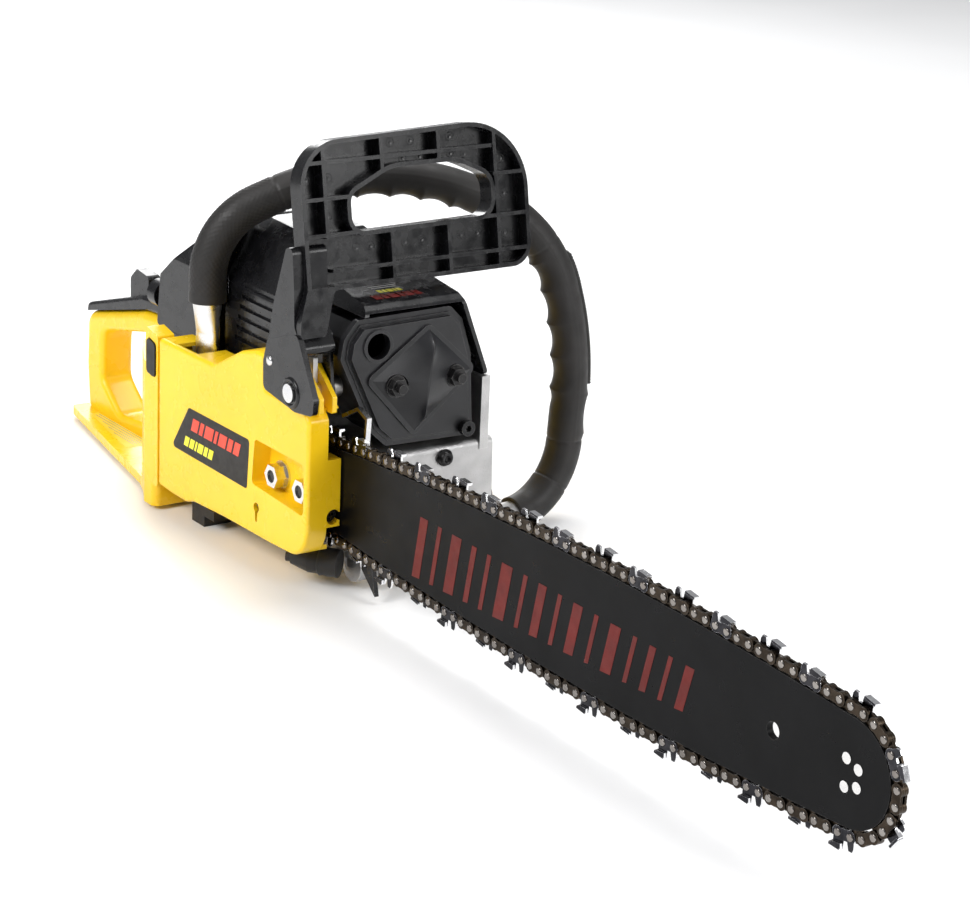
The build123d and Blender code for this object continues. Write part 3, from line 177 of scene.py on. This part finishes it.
def make_surfaces():
    """The finish of every material slot, and a few nodes whose finish is their own."""
    out = {}
    out["yellow_shell"] = surface(
        "yellow_plastic", (0.94, 0.58, 0.006), (0.97, 0.63, 0.012), (0.22, 0.32), (700.0, 0.08, 0.0002),
        # the lighter yellow on the corners is a painted edge highlight
        patch=14.0, wear_and_sheen=((0.98, 0.74, 0.10), 0.0006, 0.5),
    )
    out["black_shell"] = surface(
        "black_plastic", (0.003, 0.003, 0.0035), (0.006, 0.006, 0.007), (0.16, 0.34), (500.0, 0.10, 0.0002),
        wear_and_sheen=((0.07, 0.07, 0.075), 0.0005, 0.6), Specular_IOR_Level=0.42,
    )
    out["black_rubber"] = surface(
        "rubber", (0.010, 0.009, 0.008), (0.016, 0.014, 0.013), (0.46, 0.62), (1100.0, 0.3, 0.0003),
        wear_and_sheen=((0.035, 0.031, 0.028), 0.0008, 0.5), Sheen_Weight=0.05, Sheen_Roughness=0.5,
        Specular_IOR_Level=0.4,
    )
    out["muffler_paint"] = surface(
        "stove_paint", (0.006, 0.006, 0.007), (0.011, 0.011, 0.013), (0.28, 0.42), (1300.0, 0.22, 0.0003),
        wear_and_sheen=((0.22, 0.21, 0.21), 0.0004, 0.5), Specular_IOR_Level=0.42,
    )
    out["cast_aluminium"] = surface(
        "cast_alloy", (0.40, 0.395, 0.395), (0.50, 0.495, 0.49), (0.40, 0.55), (850.0, 0.5, 0.0006),
        metal=1.0, wear_and_sheen=((0.74, 0.73, 0.72), 0.0008, 0.7),
    )
    out["bright_steel"] = surface(
        "zinc_steel", (0.66, 0.66, 0.67), (0.74, 0.73, 0.71), (0.18, 0.30), (1500.0, 0.1, 0.0001),
        metal=1.0, wear_and_sheen=((0.92, 0.92, 0.92), 0.0004, 0.6),
    )
    out["chain_steel"] = surface(
        "chain_steel", (0.022, 0.016, 0.011), (0.050, 0.037, 0.026), (0.24, 0.40), (1600.0, 0.2, 0.0002),
        patch=160.0, metal=1.0, wear_and_sheen=((0.20, 0.185, 0.165), 0.0004, 0.6),
    )
    out["dark_steel"] = surface(
        "dark_steel", (0.16, 0.155, 0.15), (0.26, 0.25, 0.24), (0.30, 0.45), (1000.0, 0.2, 0.0002),
        metal=1.0, wear_and_sheen=((0.55, 0.54, 0.52), 0.0005, 0.6),
    )
    out["black_screw"] = surface(
        "black_oxide", (0.010, 0.010, 0.011), (0.020, 0.019, 0.019), (0.22, 0.34), (1500.0, 0.15, 0.0001),
        metal=0.5, wear_and_sheen=((0.30, 0.29, 0.28), 0.0004, 0.6),
    )
    out["handle_tube"] = surface(
        "tube_alloy", (0.70, 0.69, 0.68), (0.80, 0.79, 0.77), (0.24, 0.36), (1400.0, 0.12, 0.0002),
        metal=1.0, brushed=(1.0, 1.0, 0.06),
    )
    out["white_plastic"] = surface(
        "white_plastic", (0.74, 0.74, 0.73), (0.80, 0.80, 0.79), (0.34, 0.46), (900.0, 0.12, 0.0002),
        # the lighter white on the corners is a painted edge highlight
        wear_and_sheen=((0.88, 0.88, 0.88), 0.0005, 0.4),
    )
    out["red_plastic"] = surface(
        "red_plastic", (0.52, 0.022, 0.012), (0.60, 0.035, 0.018), (0.28, 0.40), (900.0, 0.12, 0.0002),
        # the lighter red on the corners is a painted edge highlight
        wear_and_sheen=((0.75, 0.16, 0.10), 0.0005, 0.5),
    )
    out["filter_felt"] = surface(
        "felt", (0.72, 0.69, 0.60), (0.80, 0.77, 0.69), (0.85, 0.95), (1800.0, 0.8, 0.0008),
        patch=120.0, Sheen_Weight=0.4,
    )
    out["rope_fibre"] = surface(
        "rope", (0.62, 0.61, 0.58), (0.74, 0.73, 0.70), (0.75, 0.9), (1500.0, 0.5, 0.0004), Sheen_Weight=0.3,
    )
    out["black_bar"] = surface(
        "bar_paint", (0.002, 0.002, 0.0023), (0.004, 0.004, 0.0045), (0.26, 0.38), (1500.0, 0.08, 0.0001),
        patch=25.0, wear_and_sheen=((0.12, 0.115, 0.11), 0.0005, 0.6), Specular_IOR_Level=0.09,
    )
    for name, tone, other in (
        ("print_red", (0.10, 0.004, 0.002), (0.14, 0.006, 0.003)),
        ("print_red_bright", (0.80, 0.07, 0.04), (0.86, 0.09, 0.05)),
        ("print_yellow", (0.85, 0.78, 0.03), (0.92, 0.86, 0.05)),
        ("print_pale_yellow", (0.86, 0.66, 0.06), (0.90, 0.72, 0.08)),
        ("print_grey", (0.30, 0.30, 0.29), (0.42, 0.42, 0.41)),
        ("print_black", (0.010, 0.009, 0.008), (0.014, 0.012, 0.011)),
    ):
        out[name] = surface(
            name, tone, other, (0.34, 0.48), (1400.0, 0.12, 0.0001), patch=90.0, Specular_IOR_Level=0.25,
        )
    out["cutter_chrome"] = make_cutter_finish()
    out["rivet_heads"] = surface(
        "rivet_steel", (0.20, 0.18, 0.165), (0.30, 0.28, 0.26), (0.14, 0.24), (1500.0, 0.1, 0.0001),
        metal=1.0,
    )
    return out


def make_cutter_finish():
    """Blued steel with a chromed outer face: chrome where the surface looks away from the bar's sides."""
    made = surface(
        "cutter_steel", (0.017, 0.017, 0.020), (0.042, 0.041, 0.046), (0.16, 0.28), (1500.0, 0.12, 0.0001),
        patch=140.0, metal=1.0, wear_and_sheen=((0.8, 0.8, 0.84), 0.0003, 0.8),
    )
    geometry = made.node("ShaderNodeNewGeometry")
    split = made.node("ShaderNodeSeparateXYZ")
    made.join(geometry.outputs["Normal"], split.inputs["Vector"])
    flat = made.node("ShaderNodeMath", operation="ABSOLUTE")
    made.join(split.outputs["Y"], flat.inputs[0])
    chromed = made.spread(flat.outputs["Value"], 1.0, 0.0, 0.35, 0.75)
    under = made.shader.inputs["Base Color"].links[0].from_socket
    made.join(made.tint(chromed, under, (0.80, 0.80, 0.81)), made.shader.inputs["Base Color"])
    return made


SURFACES = make_surfaces()
OWN_FINISH = {"chain_rivets": "rivet_heads", "bumper_spike": "black_screw", "bar_studs": "black_screw"}


def dress(piece, finish):
    piece.data.materials.clear()
    piece.data.materials.append(SURFACES[finish].material)


def dress_nodes():
    """Give every CAD node the finish of its record slot, or its own."""
    slots = [row["slot"] for row in frame["record"]["materials"]]
    for name, node in NODES.items():
        slot = node.data.materials[0].name if node.data.materials else ""
        finish = OWN_FINISH.get(name) or next((s for s in slots if slot.startswith(s)), None)
        if finish is None:
            raise SystemExit(f"no finish for node {name} with material {slot}")
        for i in range(len(node.data.materials)):
            node.data.materials[i] = SURFACES[finish].material


dress_nodes()


# ---------------------------------------------------------------- mesh helpers
def add_piece(name, bm, finish, body="root", smooth=True):
    """Turn a bmesh into a dressed object that rides on a body."""
    mesh = bpy.data.meshes.new(name)
    bmesh.ops.recalc_face_normals(bm, faces=bm.faces)
    bm.to_mesh(mesh)
    bm.free()
    for polygon in mesh.polygons:
        polygon.use_smooth = smooth
    piece = bpy.data.objects.new(name, mesh)
    bpy.context.scene.collection.objects.link(piece)
    dress(piece, finish)
    if body:
        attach(piece, body)
    return piece


def tube_rings(bm, rings, closed_ends=True):
    """Skin a list of rings of points, each with the same count."""
    loops = [[bm.verts.new(p) for p in ring] for ring in rings]
    count = len(loops[0])
    for low, high in zip(loops, loops[1:]):
        for i in range(count):
            j = (i + 1) % count
            bm.faces.new((low[i], low[j], high[j], high[i]))
    if closed_ends:
        bm.faces.new(list(reversed(loops[0])))
        bm.faces.new(loops[-1])


def rounded_route(corners, radii, step):
    """Evenly spaced points and directions along straight runs joined by tangent arcs."""
    pieces = []
    at = corners[0]
    for before, corner, after, radius in zip(corners, corners[1:], corners[2:], radii):
        into = (corner - before).normalized()
        out = (after - corner).normalized()
        turn = into.angle(out)
        cut = radius * math.tan(turn / 2)
        start = corner - into * cut
        stop = corner + out * cut
        pieces.append(("run", at, start, (start - at).length))
        side = (out - into * into.dot(out)).normalized()
        pieces.append(("arc", start, (into, side, radius), radius * turn))
        at = stop
    pieces.append(("run", at, corners[-1], (corners[-1] - at).length))
    total = sum(piece[3] for piece in pieces)
    count = round(total / step)
    samples = []
    for i in range(count + 1):
        left = total * i / count
        for piece in pieces:
            if left <= piece[3] + 1e-9 or piece is pieces[-1]:
                break
            left -= piece[3]
        if piece[0] == "run":
            heading = (piece[2] - piece[1]).normalized()
            samples.append((piece[1] + heading * left, heading))
        else:
            into, side, radius = piece[2]
            a = left / radius
            point = piece[1] + into * radius * math.sin(a) + side * radius * (1 - math.cos(a))
            samples.append((point, into * math.cos(a) + side * math.sin(a)))
    return samples, total


# ---------------------------------------------------------------- front handle grip
LEG_Y = -9.0
HOOP_CORNERS = [(50.3, 226.5), (125, 228), (186, 189), (204, 115), (199, 9.7)]
HOOP_RADII = [52, 120, 150, 85, 220, 46]
GRIP_SHARE = 0.836          # share of the tube's length that the rubber covers
GRIP_R = 12.0
TUBE_R = 9.5
GRIP_STEP = 0.9             # spacing of the rings of the rubber's mesh
GRIP_SIDES = 88
WAVE_REST = 0.62            # share of a wave's crest that stays on the plain radius
KNURL_PITCH = 1.8
KNURL_ROWS = 22
SEAM_ANGLE = 1.95           # the two mould lines, from the inner side


def hoop_x(y):
    return -48.9 + (y - LEG_Y) * 0.463


def hoop_route():
    corners = [Vector((hoop_x(LEG_Y), LEG_Y, 148)), Vector((hoop_x(LEG_Y), LEG_Y, 196.6))]
    corners += [Vector((hoop_x(y), y, z)) for y, z in HOOP_CORNERS]
    corners.append(Vector((64, 66.3, 9.7)))
    return rounded_route(corners, HOOP_RADII, GRIP_STEP)


def smooth_window(value, low, high, soft):
    """1 between low and high, falling to 0 over the distance soft on each side."""
    a = min(max((value - low) / soft + 1, 0), 1)
    b = min(max((high - value) / soft + 1, 0), 1)
    return a * a * (3 - 2 * a) * b * b * (3 - 2 * b)


def grip_stations():
    """Rings of the grip: distance along it, point, heading, inward and sideways directions."""
    samples, total = hoop_route()
    middle_y, middle_z = 90.0, 110.0
    middle = Vector((hoop_x(middle_y), middle_y, middle_z))
    stations = []
    length = total * GRIP_SHARE
    step = total / (len(samples) - 1)
    for i, (point, heading) in enumerate(samples):
        along = i * step
        if along > length:
            break
        inward = middle - point
        inward = (inward - heading * inward.dot(heading)).normalized()
        stations.append((along, point, heading, inward, heading.cross(inward)))
    return stations, length


GRIP_STATIONS, GRIP_LENGTH = grip_stations()


def station_where(test):
    """Distance along the grip of the first station whose point passes the test."""
    return next(along for along, point, *_ in GRIP_STATIONS if test(point))


def down_left_leg(height):
    """Distance along the grip where the left leg comes down to a height."""
    return station_where(lambda p: p.y > 150 and p.z < height)


FIRST_SEAM = station_where(lambda p: p.y > 30)
SECOND_SEAM = station_where(lambda p: p.y > 182)
THIRD_SEAM = down_left_leg(55)
LOWER_SEAM = down_left_leg(27)
TOP_WAVES = (station_where(lambda p: p.y > 74), station_where(lambda p: p.y > 132))
LEG_WAVES = (down_left_leg(178), down_left_leg(84))
RIDGE = (down_left_leg(176), down_left_leg(92))
OUTER_WAVES = (down_left_leg(86), down_left_leg(62))
KNURL = (station_where(lambda p: p.z > 156), FIRST_SEAM - 3)


def grip_radius(along, angle):
    """Radius of the rubber at a distance along it; angle 0 faces the middle of the loop."""
    radius = GRIP_R - 0.35
    inner = max(math.cos(angle), 0) ** 1.5
    outer = max(-math.cos(angle), 0) ** 2
    for (low, high), pitch, height, share in (
        (TOP_WAVES, 21.0, 2.6, inner), (LEG_WAVES, 23.0, 2.5, inner), (OUTER_WAVES, 26.0, 1.6, outer),
    ):
        near = smooth_window(along, low, high, 10.0)
        crest = abs(math.sin(math.pi * (along - low) / pitch)) ** 0.7
        radius += share * near * height * (WAVE_REST - crest)
    for seam, depth in ((FIRST_SEAM, -0.5), (SECOND_SEAM, -0.4), (THIRD_SEAM, -0.6), (LOWER_SEAM, -0.5)):
        radius += depth * math.exp(-((along - seam) / 0.8) ** 2)
    collar = smooth_window(along, LOWER_SEAM + 1, GRIP_LENGTH, 1.5) + smooth_window(along, -5, 5, 2.0)
    radius += 0.3 * collar
    mould_line = math.exp(-((abs(angle) - SEAM_ANGLE) / 0.035) ** 2)
    radius += 0.30 * mould_line * smooth_window(along, FIRST_SEAM, THIRD_SEAM, 2.0)
    knurl = smooth_window(along, *KNURL, 2.0)
    if knurl > 0:
        dots = math.cos(angle * KNURL_ROWS) * math.cos(math.pi * along / KNURL_PITCH)
        radius += 0.28 * knurl * dots
    return radius


def ring_at(station, radius_at):
    """Ring of points round one station, with the radius for each angle."""
    along, point, _, inward, side = station
    ring = []
    for i in range(GRIP_SIDES):
        angle = 2 * math.pi * i / GRIP_SIDES
        if angle > math.pi:
            angle -= 2 * math.pi
        spoke = inward * math.cos(angle) + side * math.sin(angle)
        ring.append((point + spoke * radius_at(along, angle)) * MM)
    return ring


def bore_radius(_along, _angle):
    return TUBE_R + 0.1


def make_grip():
    """The rubber's outer skin, turned in at both ends to meet the tube."""
    bm = bmesh.new()
    skin = [ring_at(station, grip_radius) for station in GRIP_STATIONS]
    ends = [ring_at(station, bore_radius) for station in (GRIP_STATIONS[0], GRIP_STATIONS[-1])]
    tube_rings(bm, [ends[0]] + skin + [ends[1]], closed_ends=False)
    grip = add_piece("grip_rubber", bm, "black_rubber")
    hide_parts("front_handle_grip")
    return grip


def make_grip_ridge():
    """Serrated strip along the outer side of the left leg, tapering into the rubber at both ends."""
    bm = bmesh.new()
    rings = []
    low, high = RIDGE
    half_width = 2.6
    flank = half_width * 0.75
    for k, (along, point, _, inward, side) in enumerate(GRIP_STATIONS):
        if not low <= along <= high:
            continue
        rise = 2.2 * smooth_window(along, low + 5, high, 5.0)
        tooth = 0.7 if k % 2 else 0.0
        base = GRIP_R - 1.6
        top = GRIP_R - 0.5 + rise - tooth
        ring = []
        for across, level in ((-half_width, base), (-flank, top), (flank, top), (half_width, base)):
            ring.append((point - inward * level + side * across) * MM)
        rings.append(ring)
    tube_rings(bm, rings)
    return add_piece("grip_ridge", bm, "black_rubber", smooth=False)


make_grip()
make_grip_ridge()


# ---------------------------------------------------------------- starter rope
def make_rope():
    """Three strands laid round each other; it stretches from the starter to its handle."""
    low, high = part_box("starter_rope")
    centre = Vector(((low[0] + high[0]) / 2, (low[1] + high[1]) / 2, 0))
    outer = (high[0] - low[0]) / 2
    strand = outer * 0.52
    lay = 0.011             # length of one full turn of a strand
    bm = bmesh.new()
    steps = 220
    sides = 8
    for part in range(3):
        rings = []
        for i in range(steps + 1):
            z = low[2] + (high[2] - low[2]) * i / steps
            turn = 2 * math.pi * (part / 3 + (z - low[2]) / lay)
            middle = centre + Vector((math.cos(turn), math.sin(turn), 0)) * (outer - strand)
            middle.z += z
            ring = []
            for k in range(sides):
                a = 2 * math.pi * k / sides
                ring.append(middle + Vector((math.cos(a), math.sin(a), 0)) * strand)
            rings.append(ring)
        tube_rings(bm, rings)
    rope = add_piece("rope_strands", bm, "rope_fibre", body=None)
    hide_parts("starter_rope")
    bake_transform(rope)
    return rope


make_rope()


# ---------------------------------------------------------------- prints and labels
PRINT_LIFT = 0.03
PRINT_THICK = 0.12


def rounded_corners(points, radius, steps=6):
    """Corner points of a flat shape with each corner turned into an arc."""
    out = []
    count = len(points)
    for i in range(count):
        corner = Vector(points[i])
        into = (corner - Vector(points[i - 1])).normalized()
        leave = (Vector(points[(i + 1) % count]) - corner).normalized()
        turn = math.atan2(into.cross(leave), into.dot(leave))
        cut = radius * abs(math.tan(turn / 2))
        side = Vector((-into.y, into.x)) * math.copysign(1, turn)
        start = corner - into * cut
        middle = start + side * radius
        for k in range(steps + 1):
            a = turn * k / steps
            out.append(middle + Matrix.Rotation(a, 2) @ (start - middle))
    return out


def add_plates(name, finish, shapes, place, up, body="root"):
    """Thin raised shapes on a face: place turns (u, v) into a point in mm, up is the face's normal."""
    bm = bmesh.new()
    rise = Vector(up)
    for shape in shapes:
        low = [bm.verts.new((place(*p) + rise * PRINT_LIFT) * MM) for p in shape]
        high = [bm.verts.new((place(*p) + rise * (PRINT_LIFT + PRINT_THICK)) * MM) for p in shape]
        bm.faces.new(high)
        bm.faces.new(list(reversed(low)))
        for i in range(len(shape)):
            j = (i + 1) % len(shape)
            bm.faces.new((low[i], low[j], high[j], high[i]))
    return add_piece(name, bm, finish, body, smooth=False)


def slanted_row(u_low, u_high, v_low, v_high, widths, gap, lean):
    """A row of leaning blocks of uneven width that fills a box."""
    spare = u_high - u_low - gap * (len(widths) - 1) - abs(lean)
    share = spare / sum(widths)
    u = u_low
    shapes = []
    for width in widths:
        wide = width * share
        shapes.append([(u, v_low), (u + wide, v_low), (u + wide + lean, v_high), (u + lean, v_high)])
        u += wide + gap
    return shapes


def bar_graphic():
    """Leaning blocks that shrink towards the nose, between two converging lines."""
    shapes = []
    tail, tip = 178.0, 436.0
    u = tail
    pattern = (8, 4, 10, 5, 4, 11, 4, 8, 4, 9, 4, 10, 4, 6, 4, 8)
    gap = 10.2
    lean = 7.0
    for width in pattern:
        share = (u - tail) / (tip - tail)
        low = 40.0 + 10.0 * share
        high = 78.0 - 3.0 * share
        wide = width * (0.95 - 0.1 * share)
        shapes.append([(u, low), (u + wide, low + 0.6), (u + wide + lean, high), (u + lean, high)])
        u += wide + gap
    return shapes


def on_side(y):
    """Places (u, v) on a plane across the saw, u forward and v up."""
    return lambda u, v: Vector((u, y, v))


def on_top(z):
    """Places (u, v) on a level plane, u forward and v to the left."""
    return lambda u, v: Vector((u, v, z))


def make_prints():
    low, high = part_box("guide_bar")
    graphic = bar_graphic()
    add_plates("bar_print_right", "print_red", graphic, on_side(low[1] / MM), (0, -1, 0))
    add_plates("bar_print_left", "print_red", graphic, on_side(high[1] / MM), (0, 1, 0))
    cover_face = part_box("clutch_cover")[0][1] / MM
    badge = rounded_corners([(-41, 83), (34, 83.4), (31.6, 51.6), (-62.6, 52)], 2.4)
    add_plates("cover_badge", "print_black", [badge], on_side(cover_face), (0, -1, 0))
    on_badge = on_side(cover_face - PRINT_THICK)
    upper = slanted_row(-38, 24, 69, 77.5, (7, 4, 9, 3, 8, 5, 6), 2.0, 3.0)
    add_plates("badge_red", "print_red_bright", upper, on_badge, (0, -1, 0))
    lower = slanted_row(-47, -9, 57, 63.5, (5, 5, 2, 6, 4, 5), 1.4, 2.4)
    add_plates("badge_yellow", "print_yellow", lower, on_badge, (0, -1, 0))


def across_saw(shapes):
    """The same shapes with their two directions swapped."""
    return [[(v, u) for u, v in shape] for shape in shapes]


def make_hood_print():
    """Rows of generic marks on the sloping front of the engine's top cover."""
    slope = math.atan2(187 - 179, 99 - 44)
    normal = Vector((math.sin(slope), 0, math.cos(slope)))

    def on_hood(u, v):
        return Vector((44, v, 187)) + Vector((math.cos(slope), 0, -math.sin(slope))) * u

    red = across_saw(slanted_row(22, 56, 44.5, 50.5, (6, 4, 7, 3, 6, 5), 1.4, 1.5))
    add_plates("hood_red", "print_red", red, on_hood, normal)
    yellow = across_saw(slanted_row(30, 47, 38.5, 42, (4, 3, 5, 2, 4), 0.9, 0.8))
    add_plates("hood_yellow", "print_yellow", yellow, on_hood, normal)
    lines = []
    for i in range(5):
        u = 25.5 + 2.4 * i
        lines.append([(u, 25 + i), (u + 0.6, 25 + i), (u + 0.6, 52 - 1.5 * i), (u, 52 - 1.5 * i)])
    add_plates("hood_lines", "print_grey", lines, on_hood, normal)


def make_foot_label():
    """Care label on the rear foot: a field with plain ruled lines."""
    top = 9.0
    field = rounded_corners([(-266, 20.0), (-186, 6.0), (-186, 26.0), (-266, 26.0)], 1.5)
    add_plates("foot_label", "print_pale_yellow", [field], on_top(top), (0, 0, 1))
    rules = []
    for i in range(5):
        v = 24.4 - 2.6 * i
        start = -262.0 + 0.4 * i if v > 21 else -188 - (v - 8.0) * 5.2
        rules.append([(start, v), (-190, v), (-190, v + 0.45), (start, v + 0.45)])
    over = on_top(top + PRINT_THICK)
    add_plates("label_rules", "print_grey", rules, over, (0, 0, 1))


make_prints()
make_hood_print()
make_foot_label()


# ---------------------------------------------------------------- chain rivets
def islands(node):
    """Vertex positions of each separate solid of a node."""
    bm = bmesh.new()
    bm.from_mesh(NODES[node].data)
    bmesh.ops.remove_doubles(bm, verts=bm.verts, dist=1e-6)
    seen = set()
    groups = []
    for vert in bm.verts:
        if vert in seen:
            continue
        stack = [vert]
        seen.add(vert)
        group = []
        while stack:
            at = stack.pop()
            group.append(at.co.copy())
            for edge in at.link_edges:
                other = edge.other_vert(at)
                if other not in seen:
                    seen.add(other)
                    stack.append(other)
        groups.append(group)
    bm.free()
    return groups


def scaled(profile):
    """A profile given in mm, in metres."""
    return [(distance * MM, radius * MM) for distance, radius in profile]


def lathe(bm, profile, axis_point, axis, sides=20):
    """Turn (distance along the axis, radius) points about an axis; a radius of 0 closes an end."""
    along = Vector(axis).normalized()
    across = along.orthogonal().normalized()
    third = along.cross(across)
    previous = None
    for distance, radius in profile:
        middle = Vector(axis_point) + along * distance
        ring = []
        for k in range(sides if radius else 1):
            a = 2 * math.pi * k / sides
            spoke = across * math.cos(a) + third * math.sin(a)
            ring.append(bm.verts.new(middle + spoke * radius))
        if previous:
            for k in range(sides):
                j = (k + 1) % sides
                back = (previous[k % len(previous)], previous[j % len(previous)])
                front = (ring[j % len(ring)], ring[k % len(ring)])
                bm.faces.new(list(dict.fromkeys(back + front)))
        previous = ring


def make_rivets():
    """Each rivet gets peened, domed heads on both sides of its link."""
    bm = bmesh.new()
    dome = 0.45 * MM
    for group in islands("chain_rivets"):
        low = Vector([min(p[i] for p in group) for i in range(3)])
        high = Vector([max(p[i] for p in group) for i in range(3)])
        middle = (low + high) / 2
        radius = (high.x - low.x) / 2
        half = (high.y - low.y) / 2
        shoulder = half - dome
        profile = [(-half, 0)]
        for share in (0.35, 0.65, 0.88, 1.0):
            profile.append((-shoulder - dome * math.sqrt(1 - share ** 2), radius * share))
        profile += [(-distance, size) for distance, size in reversed(profile)]
        lathe(bm, profile, middle, (0, 1, 0), sides=14)
    rivets = add_piece("rivet_domes", bm, "rivet_heads")
    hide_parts("chain_rivets")


make_rivets()


# ---------------------------------------------------------------- small details on the guard and the case
RING_FOOT = Vector((91.0, 0.0, 190.0))
RING_LEAN = math.radians(-10.0)
RING_FLOOR = -9.0           # depth of the skin between the ribs, behind the front rim
EJECTOR_PLACES = [
    (2, 62), (0, 40), (46, 79), (60, 79), (88, 79), (54, 69), (66, 69), (88, 69), (98, 68),
    (124, 63), (125, 42), (124, 18), (-10, 20), (18, 20), (28, 20), (52, 20), (64, 20), (92, 20),
    (104, 20), (-13, 62),
]


def on_ring(y, s, depth):
    """A point of the leaning ring: across the saw, up the ring, and behind its front rim."""
    spot = Vector((depth, y, s))
    return RING_FOOT + Matrix.Rotation(RING_LEAN, 3, "Y") @ spot


def make_ejector_marks():
    """Faint raised rims that the mould's ejector pins leave in the guard's cells."""
    bm = bmesh.new()
    facing = Matrix.Rotation(RING_LEAN, 3, "Y") @ Vector((1, 0, 0))
    profile = [(-0.1, 2.9), (0.12, 2.75), (0.12, 2.45), (-0.02, 2.3), (0.02, 0)]
    for y, s in EJECTOR_PLACES:
        middle = on_ring(y, s, RING_FLOOR) * MM
        lathe(bm, scaled(profile), middle, facing, sides=24)
    add_piece("ejector_marks", bm, "black_shell", body="guard")


GUARD_PIVOT = (87.5, 128.5)     # x and z
GUARD_RIVET = (63.0, 141.6)
ARM_FACE = -30.2                # outer face of the guard's right arm


def make_guard_details():
    """Collar round the pivot bolt and the small rivet above it."""
    bm = bmesh.new()
    profile = [(-0.5, 9.6), (0.5, 9.4), (1.1, 8.4), (1.1, 7.4), (0.3, 6.6), (-0.5, 6.4)]
    middle = Vector((GUARD_PIVOT[0], ARM_FACE, GUARD_PIVOT[1]))
    lathe(bm, scaled(profile), middle * MM, (0, -1, 0), sides=36)
    add_piece("pivot_collar", bm, "black_shell", body="guard")
    bm = bmesh.new()
    profile = [(-0.5, 3.1), (0.5, 3.0), (1.1, 2.2), (1.3, 0)]
    middle = Vector((GUARD_RIVET[0], ARM_FACE, GUARD_RIVET[1]))
    lathe(bm, scaled(profile), middle * MM, (0, -1, 0), sides=24)
    add_piece("guard_rivet", bm, "bright_steel", body="guard")


def make_case_bolt():
    """Black socket bolt that joins the crankcase halves, seen on the front of the case."""
    bm = bmesh.new()
    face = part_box("crankcase")[1][0] / MM
    middle = Vector((face, 68.0, 78.8))
    profile = [
        (-0.5, 5.4), (0.15, 5.4), (0.15, 4.4), (2.6, 4.2), (3.0, 3.6), (3.0, 2.2), (1.2, 2.0), (1.2, 0),
    ]
    lathe(bm, scaled(profile), middle * MM, (1, 0, 0), sides=24)
    add_piece("case_bolt", bm, "black_screw")


make_ejector_marks()
make_guard_details()
make_case_bolt()


# ---------------------------------------------------------------- stage, light and camera
def make_floor():
    bm = bmesh.new()
    bmesh.ops.create_grid(bm, x_segments=1, y_segments=1, size=9.0)
    mesh = bpy.data.meshes.new("floor")
    bm.to_mesh(mesh)
    bm.free()
    floor = bpy.data.objects.new("floor", mesh)
    bpy.context.scene.collection.objects.link(floor)
    paper = surface(
        "floor_paper", (0.90, 0.90, 0.90), (0.92, 0.92, 0.92), (0.55, 0.65), (600.0, 0.05, 0.0002), patch=3.0,
    )
    mesh.materials.append(paper.material)


def add_light(name, place, aim, size, power, colour=(1.0, 1.0, 1.0)):
    lamp = bpy.data.lights.new(name, "AREA")
    lamp.shape = "RECTANGLE"
    lamp.size, lamp.size_y = size
    lamp.energy = power
    lamp.color = colour
    holder = bpy.data.objects.new(name, lamp)
    bpy.context.scene.collection.objects.link(holder)
    holder.location = place
    holder.rotation_euler = (Vector(aim) - Vector(place)).to_track_quat("-Z", "Y").to_euler()
    return holder


def make_light():
    world = bpy.data.worlds.new("studio")
    world.use_nodes = True
    world.node_tree.nodes["Background"].inputs["Color"].default_value = (0.96, 0.97, 1.0, 1.0)
    world.node_tree.nodes["Background"].inputs["Strength"].default_value = 0.30
    bpy.context.scene.world = world
    bpy.context.scene.view_settings.view_transform = "Standard"
    aim = (0.1, 0.05, 0.12)
    add_light("key", (0.2, -1.9, 1.5), aim, (1.1, 0.9), 40.0)
    add_light("fill", (2.2, 0.9, 1.0), aim, (0.9, 1.1), 26.0)
    add_light("top", (-0.2, 0.5, 2.6), aim, (1.5, 1.2), 42.0)
    add_light("back", (-1.9, 0.9, 1.1), aim, (0.8, 1.0), 18.0)


def add_sky_glow():
    """Very soft light from straight above, the same over the whole floor."""
    lamp = bpy.data.lights.new("sky_glow", "SUN")
    lamp.energy = 0.35
    lamp.angle = math.radians(100)
    holder = bpy.data.objects.new("sky_glow", lamp)
    bpy.context.scene.collection.objects.link(holder)


def make_camera():
    """Camera at the front right of the saw, looking back and down on it."""
    right = Vector((0.57092, 0.81999, 0.04088))
    down = Vector((0.28063, -0.14812, -0.94832))
    ahead = Vector((-0.77155, 0.55289, -0.31468))
    lens = bpy.data.cameras.new("camera")
    lens.lens = 101.07
    lens.sensor_fit = "HORIZONTAL"
    lens.sensor_width = 36.0
    camera = bpy.data.objects.new("camera", lens)
    bpy.context.scene.collection.objects.link(camera)
    turn = Matrix((right, -down, -ahead)).transposed().to_4x4()
    camera.matrix_world = Matrix.Translation((1.384676, -0.818885, 0.596846)) @ turn
    bpy.context.scene.camera = camera


make_floor()
make_light()
add_sky_glow()
make_camera()
